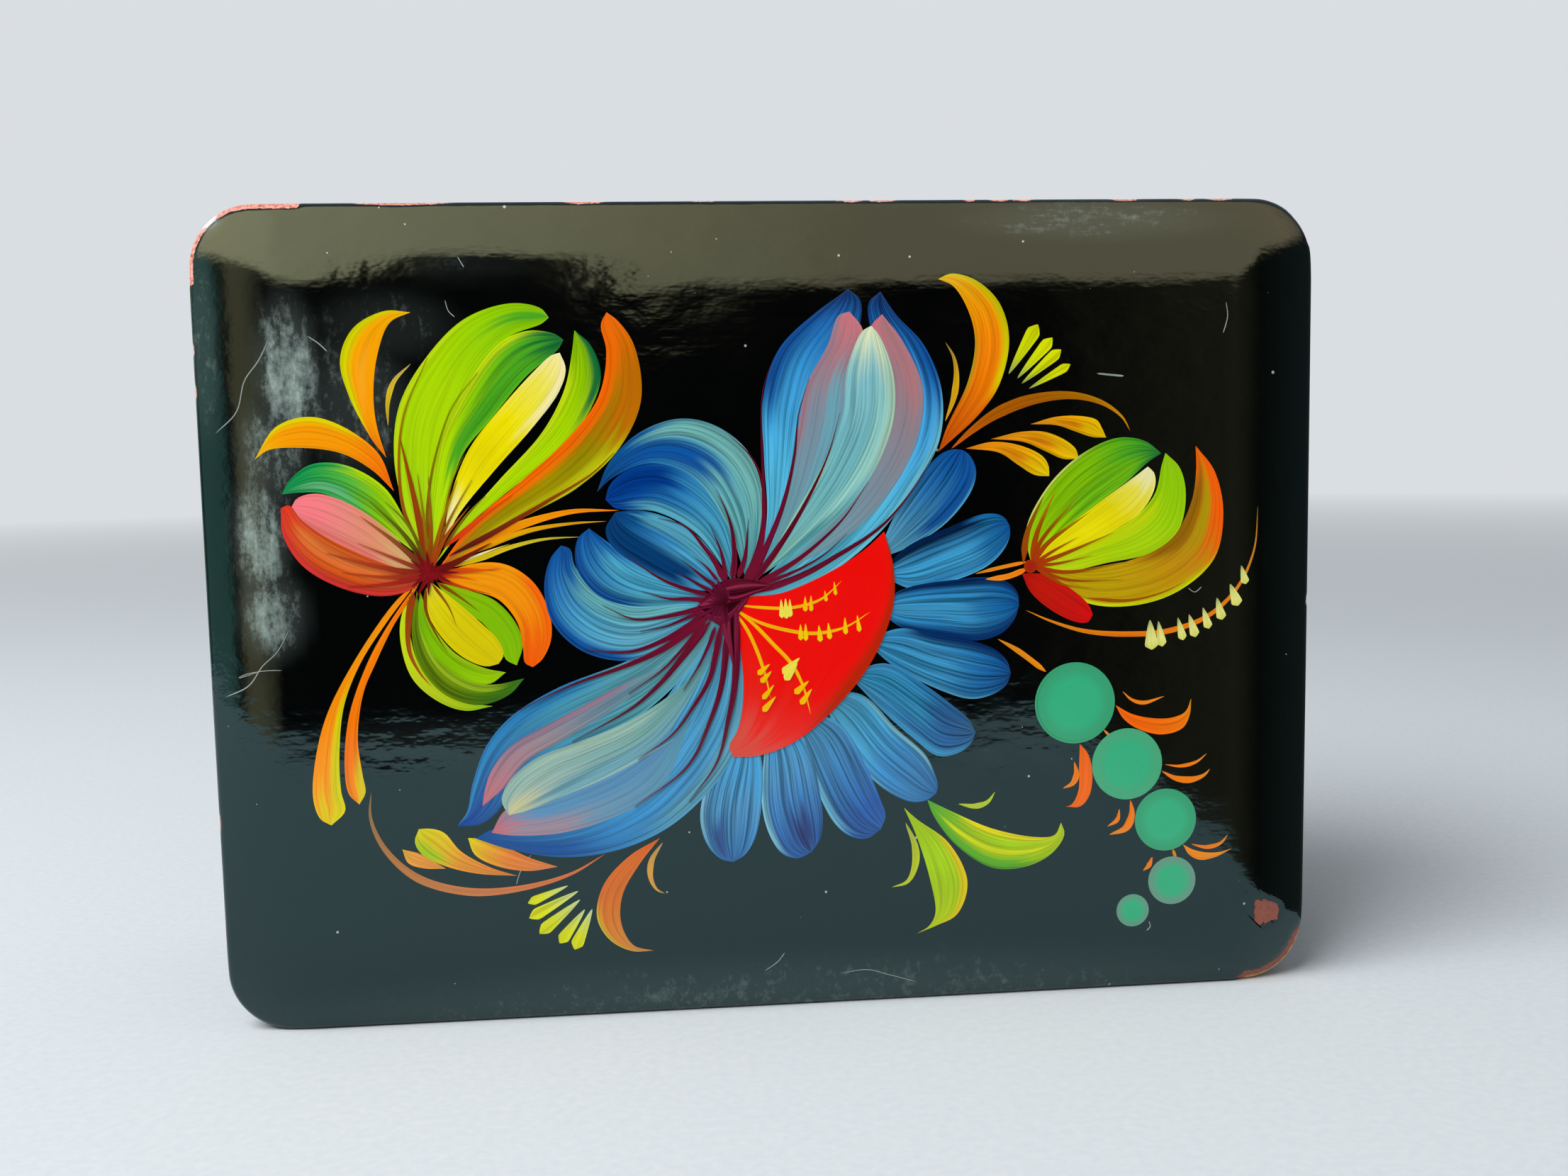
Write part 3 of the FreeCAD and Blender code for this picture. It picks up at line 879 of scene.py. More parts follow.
def left_bud():
    return [
        petal(
            (-48.4, 60), [(-49.2, 55.5), (-48.3, 50), (-46, 46.6), (-43.3, 44.6), (-40, 43.9)],
            [(-50.2, 56), (-50.4, 52.5), (-49.1, 47.8), (-46, 44.7), (-42.3, 43.2)], (-38.6, 43.7),
            [SPRING, SPRING, "ccdc18", "c0d020", "b0c818", LEAF], (), 0.2,
        ),
        petal(
            (-48, 59.5), [(-48.9, 54), (-48, 49.3), (-44.8, 45.4), (-40.3, 43.9), (-36.3, 45.2)],
            [(-47.2, 54), (-45, 49.6), (-41.7, 47.2), (-38.4, 46.6)], (-34.3, 47.3),
            ["6c9008", MOSS, "648408", MOSS, "3c6c10", "3c7818"], [("90b020", 0.85, 0.35, 0.2, 0.9)], 0.65,
        ),
        petal(
            (-47.6, 59.5), [(-47.9, 55), (-46.2, 50.8), (-42.3, 47.4), (-39, 46.7)],
            [(-46.2, 55), (-43.3, 51), (-39.6, 48.9)], (-36.7, 48.2),
            [LEAF, "78b400", LEAF, "84bc00", "98cc00", "a0d000"], [("9cc810", 1, 0.4, 0, 0.9)], 0.35,
        ),
        petal(
            (-45.4, 60.6), [(-41.3, 59.4), (-37.8, 57.9), (-35.2, 54.9), (-34.3, 52)],
            [(-43.3, 57.5), (-39.6, 55), (-37.3, 51.8), (-36.6, 49.9)], (-35.2, 49.1),
            ["94c000", "8cc000", LEAF, LEAF, "8cc400"], (), 0.22,
        ),
        petal(
            (-46.4, 60.8), [(-43, 58), (-40, 55.2), (-37.6, 52.6), (-36.9, 50.6)],
            [(-47, 57.6), (-45.4, 53.8), (-42.4, 50.5), (-39.3, 49.1)], (-37.6, 49.4),
            ["e8dc30", "e4d400", "e0cc00", "e0cc00", "dcc800"], (), 0.18,
        ),
        petal(
            (-45.4, 61.4),
            [(-40.3, 62.9), (-36.3, 62.7), (-32.7, 60.3), (-30.7, 56.3), (-30.5, 52.6), (-31.8, 49.8)],
            [(-41.3, 59.5), (-37.3, 58), (-34.9, 54.8), (-34.3, 51.4), (-34.1, 49.4)], (-33.1, 48.8),
            ["e8500c", ORANGE, "ff9a00", "ff9400", FLAME, "ff5c00"], [(FLAME, 0, 0.4, 0.5, 1)], 0.22,
        ),
        line(
            [(-48.4, 59.3), (-49.2, 56), (-49.3, 51.4), (-48, 48.4), (-46.6, 46.6)], 1.0,
            ["9c3a0a", "a85a0c"], 0.1, 0.9,
        ),
        line([(-46.8, 60), (-46.9, 56.8), (-45.4, 53), (-44.2, 51)], 0.5, [BROWN, "7a5a00"], 0.15, 0.8),
        line([(-46, 60.4), (-43.9, 57.2), (-42.9, 54.4)], 0.4, [BROWN, "a08000"], 0.15, 0.8),
        line([(-45.4, 60.6), (-42.4, 58.5), (-39.8, 56.4)], 0.5, [BROWN, "7c7000"], 0.15, 0.8),
        line([(-45.2, 61), (-42, 59.8), (-38, 58.7)], 0.5, ["b42008", "e06000"], 0.15, 0.8),
        line([(-45, 61.4), (-42, 61.1), (-39.8, 60.6)], 0.45, ["c02008", "f07800"], 0.15, 0.8),
        line([(-45, 61.8), (-41.5, 62.2), (-37.5, 61.9)], 0.5, ["cc2c08", "f07800"], 0.15, 0.8),
    ]


def long_drips():
    return [
        petal(
            (-47.2, 61.2),
            [(-49, 58.2), (-51.2, 55), (-53.8, 50), (-55.6, 46), (-56.6, 40), (-56.2, 35), (-55.9, 32.6)],
            [(-49.6, 58.3), (-52.5, 54.2), (-54.9, 50), (-57.6, 43), (-58.5, 36), (-58.1, 32.4)],
            (-56.8, 31), [FLAME, TANGERINE, TANGERINE, "ff7c00", "ff7800", "f89000"],
            [("e4cc10", 0.1, 0.6, 0.84, 1)], 0.3,
        ),
        petal(
            (-48.2, 60.3),
            [(-52.2, 55.3), (-55.8, 50), (-58.2, 44.4), (-59.1, 38), (-59.1, 32.8), (-58.7, 30.2)],
            [(-50.7, 58.3), (-56.8, 50), (-60.6, 43), (-62.4, 36.6), (-62.8, 31.8), (-62, 29.2)],
            (-60.6, 28.3), [TANGERINE, ORANGE, "ff9800", "ff9000", "ff9400", "ecc800"],
            [("dcd400", 0.05, 0.45, 0.45, 1), ("e8d400", 0.4, 0.9, 0.93, 1)], 0.35,
        ),
    ]


def left_streaks():
    return [
        line(
            [(-44.5, 62.3), (-40, 63.4), (-35.3, 65), (-31, 65.9), (-26, 66.1)], 0.75,
            [GOLD, "dcc420", "b0a838"], 0.3, 0.7,
        ),
        line([(-43.5, 62.6), (-39, 64.3), (-35.5, 65.4)], 0.3, [LEMON, CREAM, GOLD], 0.3, 0.5),
        line(
            [(-44.5, 62.8), (-39, 65.1), (-33, 67.1), (-27.3, 67.9), (-22.6, 68.1)], 0.9,
            [TANGERINE, "e8a800", "dc9c10"], 0.3, 0.7,
        ),
        line(
            [(-44.5, 63.2), (-38.5, 66.2), (-33, 68.2), (-27, 69.5), (-20.9, 69.5)], 1.15,
            ["f07400", ORANGE, "ff8400"], 0.3, 0.55,
        ),
    ]


def left_tulip_veins():
    """Fine dark lines that gather at the tulip's root."""
    root = (-46.2, 61.8)
    strokes = [
        line(
            [(-47.4, 65.5), (-49.2, 70), (-49.6, 77), (-48.6, 83), (-45.4, 90)], 0.42,
            [BROWN, "a86a00", "b09000"], 0.1, 0.8,
        ),
        line(
            [(-46, 65), (-46.2, 70), (-44.9, 77), (-42.4, 83.6), (-39, 88)], 0.34,
            [BROWN, "8c7c00", "90a000"], 0.1, 0.8,
        ),
        line([(-44.6, 66), (-42.9, 73.5), (-41, 77.5)], 0.34, [BROWN, "8c8000"], 0.1, 0.8),
        line([(-45.2, 65), (-43, 69.4), (-40.2, 74)], 0.4, [BROWN, "a09000"], 0.1, 0.8),
        line([(-44.3, 65), (-41.4, 69), (-38.5, 71.9)], 0.35, ["7a3208", "909800"], 0.1, 0.8),
        line(
            [(-43.6, 64), (-38.7, 66.4), (-30.3, 71), (-24.5, 74.4), (-21.4, 77.2)], 0.75,
            [MAROON, "8c3408", "a06000"], 0.15, 0.8,
        ),
        line([(-44, 65.2), (-42, 66.8), (-38.5, 69.6), (-35, 71.9)], 0.7, ["d83010", "ff5c00"], 0.2, 0.8),
    ]
    sprays = (
        ((-47.7, 71), (-49.4, 80), 1.0, "8c3008", "a84c00"),
        ((-46.7, 69), (-47.3, 75), 0.5, "8c3c08", "9c9000"),
        ((-45.8, 68), (-45.9, 74.5), 0.55, "982c08", "9c7c00"),
        ((-44.6, 67.6), (-42.2, 74), 0.6, "a03008", "a88400"),
        ((-44, 66.4), (-40.6, 70.6), 0.6, "a83410", "b05c00"),
        ((-49.2, 66.8), (-53.6, 71.4), 0.75, "5c1c08", "5c7c10"),
        ((-49.8, 65.4), (-55, 69.6), 0.8, "6c1c0c", "a86830"),
        ((-48.6, 68), (-51.6, 71.4), 0.5, "6c2408", "6c9010"),
        ((-50.6, 63.8), (-55.4, 66), 0.6, "7c1c14", "c86040"),
        ((-51, 62.4), (-59.6, 64.8), 0.7, "7c1814", "c84c28"),
        ((-51.6, 61.4), (-57.6, 62.2), 0.55, "8c1c14", "c04c24"),
        ((-51, 60.6), (-57, 60.3), 0.6, "981818", "c03020"),
        ((-43.4, 62.8), (-38, 65.6), 1.0, "5c0c10", "7c2408"),
        ((-42.8, 61.8), (-37, 62.2), 0.5, "b81808", "f06400"),
    )
    for middle, end, width, near, far in sprays:
        strokes.append(line([root, middle, end], width, [near, far], 0.15, 0.75))
    strokes.append(berry(root, 0.8, ["7c0c18", "6c1018"]))
    for turn in range(0, 360, 24):
        reach = 2.6 + 1.3 * math.cos(math.radians(3 * turn))
        strokes.append(line([root, off_from(root, reach, turn)], 0.62, ["8c1018", "701018"], 0.3, 0.7, 0.5))
    return strokes


def left_leaves():
    return [
        petal(
            (-51.2, 77.1), [(-52.9, 79.4), (-55.7, 85.3), (-56.6, 90), (-54.7, 94), (-50.6, 96.1)],
            [(-52.3, 81.5), (-52.5, 85.6), (-51.8, 90.4), (-50, 94.6)], (-47.3, 95.9),
            ["f07000", ORANGE, ORANGE, "ffa400", "ffa800", "f4bc00"],
            [("dcd800", 0, 0.42, 0.2, 0.95), ("ffa81c", 0.6, 0.2, 0.3, 0.6)], 0.25,
        ),
        line(
            [(-50.8, 81.2), (-50.7, 84.4), (-49.8, 87), (-47.5, 89.3)], 0.75,
            ["b89830", "e0c020", "b8a860"], 0.5, 0.5,
        ),
        petal(
            (-50.4, 72.7), [(-52.3, 77.8), (-57.7, 81.8), (-61.5, 82.6), (-65.3, 81.3)],
            [(-53.2, 75.6), (-57, 77.8), (-62, 78.6), (-66.3, 78.4)], (-68.2, 77.2),
            ["f46000", "ff8000", ORANGE, ORANGE, "ffa000", "ecb800"], [("e8d400", 0, 0.3, 0.42, 0.95)],
            0.25,
        ),
    ]


def blue_fringe():
    """The nine rounded petals behind the flower's heart, from the top round to the bottom."""
    return [
        petal(
            (13.6, 62), [(16.8, 68.7), (20.4, 73.8), (23, 76.2), (24.4, 76.7)],
            [(18, 63.5), (23.3, 66.6), (27, 71), (27.7, 73.8), (26.8, 75.9)], (25.8, 76.6),
            ["5a9ab0", "5090b0", "3c7ca4", "2868a0", "145496", "0c4490"],
            [(COBALT, 0.9, 0.3, 0.4, 1), ("50a0c0", 1, 0.07, 0.1, 0.8)], 0.75, 0.2,
        ),
        petal(
            (14, 60), [(18, 63.6), (24.7, 66.5), (28.4, 67.8), (30.6, 67.8), (31.7, 67.2)],
            [(19, 57.8), (24, 58.7), (29.3, 60.8), (31.7, 63.2), (32.4, 65)], (32.3, 66.2),
            ["3888b8", "3c84ac", "2c74a4", "347caa", "20689c", "0c4c90"],
            [(MIDNIGHT, 0.02, 0.3, 0, 0.75), ("4ca0c8", 1, 0.07, 0.2, 0.9), ("3c90bc", 0.6, 0.3, 0, 0.7)],
            0.7, 0.15,
        ),
        petal(
            (14, 55.3), [(17, 57.7), (25, 59), (30, 59.1), (32.3, 58.2), (33.4, 56.9)],
            [(17, 52.7), (23, 51.2), (28, 50.5), (31.3, 51.5), (33, 53.4)], (33.6, 55.2),
            ["3888b8", "2c80b4", "2878b4", "2c74a4", "18609a", "0a3c7c"],
            [(NAVY, 1, 0.22, 0.1, 0.9), (NAVY, 0, 0.2, 0.1, 0.95), ("3c8cb8", 0.5, 0.35, 0, 0.6)], 0.75,
            0.25,
        ),
        petal(
            (12, 51), [(17, 52.5), (22, 51.5), (27.3, 50.4), (30.6, 48.9), (32, 47.3)],
            [(16, 47.3), (22.4, 43.8), (26.8, 42.4), (30, 43), (31.8, 44.2)], (32.4, 45.8),
            ["3c8cac", "3484b4", "3c84ac", "3078a8", "1c609a", "0a3c7c"],
            [("50a0c4", 1, 0.06, 0.3, 0.9), (NAVY, 0, 0.22, 0.3, 0.95), ("3c8cb8", 0.6, 0.35, 0.1, 0.6)],
            0.75, 0.35,
        ),
        petal(
            (9.5, 46.5), [(15, 47.7), (20.7, 44.3), (24.4, 41.4), (26.4, 39.6)],
            [(14, 41.5), (18.6, 37.2), (22, 34.6), (24.6, 34.8), (26.6, 36)], (27.4, 37.7),
            ["3c7c94", "3c80a8", "3078a8", "28689c", "285c90", "34648c"],
            [("348ab4", 0.4, 0.4, 0.1, 0.6), ("3c90bc", 0.95, 0.1, 0.3, 0.9)], 0.8, 0.35,
        ),
        petal(
            (5.5, 44), [(11.5, 43.5), (16.2, 38.7), (20.3, 34.8), (21.5, 32.4), (22, 30.6)],
            [(8.6, 37.6), (12.3, 32.2), (16, 29.2), (18.6, 28.2), (20.6, 28.5)], (21.8, 29.4),
            ["4c8c98", "4894b4", "48a0cc", "3c8cc4", "3c7cb0", "2c649c"],
            [("68a8c0", 1, 0.07, 0.2, 0.7), ("74b0c0", 0.02, 0.08, 0.3, 0.85)], 0.6, 0.1,
        ),
        petal(
            (2, 42), [(8.4, 39.6), (12, 33.4), (13.9, 28.8), (14.6, 26.4)],
            [(3.6, 35), (5, 30.7), (7.4, 25.8), (9.6, 23.8), (12, 23.4)], (13.9, 24.6),
            ["34707e", "4484a8", "4080b0", "3470a8", "2858a0", "3060a0"],
            [("60a0b8", 0.95, 0.1, 0.1, 0.75)], 0.75, 0.1,
        ),
        petal(
            (-1, 42), [(3.8, 36.6), (5.5, 30), (5.8, 26), (5.4, 23.6)],
            [(-2.2, 35), (-2.5, 28), (-1.4, 24), (0.2, 21.7), (2.2, 21)], (4.2, 21.8),
            ["4490b4", "4494c4", "4c8cb8", "3c78b0", "2c5c9c", "2c5c98"],
            [("70acc0", 0.97, 0.1, 0.1, 0.8), ("283c74", 0.4, 0.25, 0.68, 0.92)], 0.75, 0.1,
        ),
        petal(
            (-4.6, 42), [(-2.5, 35), (-2.6, 29), (-3.6, 24.2), (-5, 21.9)],
            [(-7.4, 36.6), (-10.4, 31), (-11.1, 27), (-10.2, 23.4), (-8.4, 21.4)], (-6.7, 20.9),
            ["4894b4", "4898c0", "4494c4", "4c8cb8", "3c7cb0", "3468a4"],
            [("2c4c84", 0.72, 0.16, 0.68, 0.92), ("74acc4", 0.98, 0.08, 0.2, 0.8)], 0.75, 0.08,
        ),
    ]


def blue_low_petal():
    """The big petal that sweeps down to the left, laid in bands of blue, rose and pale green."""
    return [
        petal(
            (-6.5, 57),
            [(-4.4, 48), (-4.6, 40), (-6.7, 35), (-10, 30.7), (-15.7, 26), (-22.7, 23.2), (-30, 22.6),
             (-37, 24)], [(-11, 50), (-16, 43), (-22, 35), (-29, 29.6), (-35.4, 27.4), (-39.5, 26.8)],
            (-41.6, 25.7), ["4f92a0", "58a6c6", "4a9ccc", "388cc4", "266ca7", "195199"],
            [("5ea0b8", 0.1, 0.15, 0.2, 0.6), (COBALT, 0.2, 0.3, 0.76, 1)], 0.55, 0.1,
        ),
        petal(
            (-7, 56),
            [(-12, 48), (-18, 42.4), (-25, 38.8), (-31.5, 36), (-37, 31.5), (-38.6, 29.2), (-41, 27.6)],
            [(-12.5, 53.4), (-20, 49.4), (-30, 45.8), (-36.2, 42.2), (-39.6, 38.4), (-41.7, 33.2),
             (-42.6, 29.4)], (-44, 27.5), ["5b99a0", TEAL, "529daa", "3f8baa", "266caa", "134399"],
            [(AZURE, 1, 0.3, 0.4, 1)], 0.5, 0.1,
        ),
        petal(
            (-12, 41), [(-16.2, 31.8), (-22, 28.2), (-30, 26), (-36.5, 25.9)],
            [(-16, 38.8), (-24, 34.2), (-32, 31.2), (-37.5, 29.4)], (-39.4, 26.4),
            ["5896aa", "5c98b4", "6496b4", "7496b0", "8c8ca4", "bf7480"],
            [("a08c9c", 0.1, 0.5, 0.62, 1), (ROSE, 0.3, 1, 0.92, 1), ("5c94bc", 0.7, 0.35, 0.1, 0.85)],
            0.25,
        ),
        petal(
            (-14, 49), [(-22, 43), (-29, 39), (-34.5, 36), (-37.8, 32.3)],
            [(-20, 46.6), (-26, 43.6), (-32, 40.6), (-36.4, 38.2), (-39.2, 34.8), (-40.2, 31.8)],
            (-40.5, 30.1), ["6299a0", "6b95a4", "7b90a0", "988890", "aa7c88", ROSE],
            [("96778b", 0.9, 0.3, 0.2, 0.8)], 0.35,
        ),
        petal(
            (-8, 51), [(-14.5, 40.2), (-18.3, 36.6), (-24, 33.6), (-30, 31), (-34.6, 29.2)],
            [(-14, 45), (-21, 40.8), (-28, 38.2), (-33, 36.4), (-36.6, 33.6), (-37.9, 30.8)], (-37, 28.7),
            ["558f98", "689ea0", "78aaa4", "84b0ac", "9cb8ac", "c0c6a8"],
            [("98bcb0", 0.85, 0.3, 0.35, 1), ("6ea4b1", 0.15, 0.25, 0.2, 0.85),
             ("cdc996", 0.4, 0.4, 0.9, 1)], 0.4,
        ),
        line([(-14, 38.5), (-18, 36.4), (-24, 33.4), (-31, 30.6)], 0.4, ["81aeb8", "9ac3b8"], 0.3, 0.5),
        line([(-16, 42.8), (-23, 39.2), (-30, 36.8), (-35, 33.8)], 0.35, ["74aaa0", "c3cdaa"], 0.3, 0.5),
    ]


def blue_side_petals():
    return [
        petal(
            (-7.5, 56.2),
            [(-13.3, 52.2), (-20, 49.3), (-26.3, 50.7), (-30.2, 54.6), (-31.2, 59.5), (-30.2, 63.4)],
            [(-13, 57.2), (-19.4, 56.9), (-24.2, 59), (-27, 62.2), (-27.6, 64.5)], (-28.8, 65),
            ["458fa7", "58a8c0", "64aac0", "50a4c8", "2c73ae", "134d9d"],
            [(COBALT, 0, 0.3, 0.35, 0.95), ("62a7ae", 0.85, 0.3, 0.2, 0.8), (COBALT, 0.6, 0.6, 0.88, 1)],
            0.65, 0.1,
        ),
        petal(
            (-7.5, 57.2), [(-12, 56.8), (-20, 56.7), (-24.3, 58.4), (-26.8, 62), (-26.6, 65.8)],
            [(-12.7, 59.4), (-18.3, 62), (-22.7, 65.4)], (-25, 67.2),
            ["3f88a7", "4896b1", "4f9db5", "3c88b1", "236caa", "0d4696"],
            [(COBALT, 0, 0.3, 0.4, 0.95), ("4ca4c4", 0.7, 0.3, 0.2, 0.75)], 0.65, 0.1,
        ),
        petal(
            (-7, 58.2), [(-11.3, 58.7), (-17.7, 61.5), (-22, 64.7), (-22.8, 67)],
            [(-7.3, 61), (-9.7, 65), (-13.7, 68), (-18, 69.4)], (-21.4, 69.3),
            ["2c7399", "4494bc", "4ea4c8", "307eb8", "105188", "073c7a"],
            [("07396c", 0.22, 0.4, 0.25, 0.95), ("529db5", 0.85, 0.22, 0.1, 0.8)], 0.6, 0.1,
        ),
        petal(
            (-5.6, 59), [(-10.5, 66), (-16, 69.2), (-21.4, 69.8)],
            [(-5.5, 64.5), (-6.8, 69.4), (-10, 73.2), (-14.5, 75.6), (-19, 75.2), (-22, 73)], (-22.7, 71),
            ["36819d", "4896ae", "4292b5", "2977b1", "074a99", "043c8b"],
            [("003581", 0.7, 0.4, 0.62, 0.95), ("55a0b5", 0.05, 0.2, 0.2, 0.8)], 0.6, 0.15,
        ),
        petal(
            (-4, 59.5), [(-6.4, 67), (-10.8, 73.6), (-16.5, 75.7), (-21.6, 73.9)],
            [(-1.9, 66), (-1.5, 72.4), (-3.8, 77.4), (-8, 80.6), (-12.7, 81.5), (-18, 79.7), (-22, 76)],
            (-23.8, 72), ["4c8f96", "5ea4a7", "62a7ae", "3c8bb1", "135899", "134d88"],
            [("6eaeaa", 0.8, 0.3, 0.2, 0.72), (COBALT, 0.3, 0.35, 0.45, 0.9)], 0.65, 0.35,
        ),
    ]


def blue_top_petal():
    """The tall closed petal: two blue halves, two rose strokes between them, and a pale middle."""
    return [
        petal(
            (-3, 59), [(-1.1, 68), (-1.3, 76), (-1.3, 84), (1, 90.5), (6, 95.2), (9.2, 97.4)],
            [(3, 68), (7, 78), (9.5, 87), (12, 93.6), (12.1, 96.8)], (10.4, 98.3),
            ["4f9eb2", "5cb8d4", "54b8e0", "44a4dc", "2973b5", "17509a"],
            [(COBALT, 0, 0.3, 0.55, 1), (NAVY, 0.5, 0.7, 0.93, 1)], 0.55, 0.35,
        ),
        petal(
            (-4.5, 57), [(2, 63.5), (8, 70), (12.5, 77), (15, 85), (13.6, 92), (13.2, 96.4)],
            [(1, 57.7), (7.6, 60.5), (14.2, 65.6), (19, 71.6), (22.6, 77.8), (23, 84.7), (20.6, 90.8),
             (16.9, 94.8)], (14.8, 97.9), ["4f9ead", "58b4c8", "56b6d8", "4aa6dc", "2670b5", "17509a"],
            [(COBALT, 0.95, 0.25, 0.7, 1), ("6bbacd", 0.97, 0.1, 0.25, 0.7), (NAVY, 0.4, 0.8, 0.94, 1)],
            0.55, 0.35,
        ),
        petal(
            (-1.5, 61), [(1.9, 72), (3.4, 80), (4.6, 85.6), (7.6, 91), (9.1, 94.8)],
            [(5, 70), (9, 79), (10.2, 87), (12.4, 92.6)], (10.6, 95.3),
            ["5ea2a8", "6a9ea8", "7898a8", "8090a0", "a87c86", "dd787f"],
            [("a47e8c", 0, 0.25, 0.45, 1), ("70a8b8", 0.75, 0.3, 0.1, 0.75)], 0.25,
        ),
        petal(
            (-0.5, 60), [(6.5, 66.5), (12.5, 74), (16, 82), (15.6, 88), (13.5, 93.2)],
            [(10, 65.4), (15.4, 70.6), (19.4, 77.6), (20.4, 85), (17.8, 91.2)], (15, 94.9),
            ["6aa2aa", "769ca8", "8092a0", "908690", "a47c84", "d8737b"], [("b47a80", 0.7, 0.45, 0.7, 1)],
            0.22,
        ),
        petal(
            (-2.5, 60), [(2.6, 68.3), (6.6, 75), (9.3, 81.5), (10.2, 88), (12.2, 92.6)],
            [(2.7, 63.4), (9.7, 69), (14.2, 75), (16.5, 81.5), (16.3, 87.5), (14.5, 92.2)], (13.5, 93.4),
            ["81baa2", "76b5b2", "70b5ba", "73b5bd", "84c1c8", "d8e8c1"],
            [("93d0b2", 0, 0.14, 0, 0.5), (MINT, 0.95, 0.2, 0.5, 1), ("93cdc5", 0.75, 0.18, 0.1, 0.8),
             ("e3ebc1", 0.4, 0.9, 0.93, 1), ("4f979a", 0.85, 0.2, 0.05, 0.35)], 0.45,
        ),
    ]


def heart():
    """The red crescent in the middle of the blue flower."""
    return [
        petal(
            (14.9, 65.8),
            [(12.4, 63.6), (8.3, 61), (1, 57.9), (-6.6, 56.6), (-5.2, 51), (-4.8, 44), (-5.6, 39.4),
             (-6.9, 37)], [(16.1, 61), (16, 55.6), (13.3, 48.7), (8.3, 42.3), (2, 37.3), (-3, 35.6)],
            (-6.4, 35.6), [SCARLET, SCARLET, SCARLET, SCARLET, "f42014", CORAL],
            [("c02400", 1, 0.12, 0, 0.75), ("e05040", 0.5, 1, 0.9, 1)], 0.04,
        ),
    ]


# Light and dark threads in the thick paint at the flower's centre
STRANDS = (
    ("94304c", 0.3, 0.14, 0, 1),
    ("300410", 0.62, 0.16, 0, 1),
    ("842040", 0.86, 0.1, 0, 1),
)


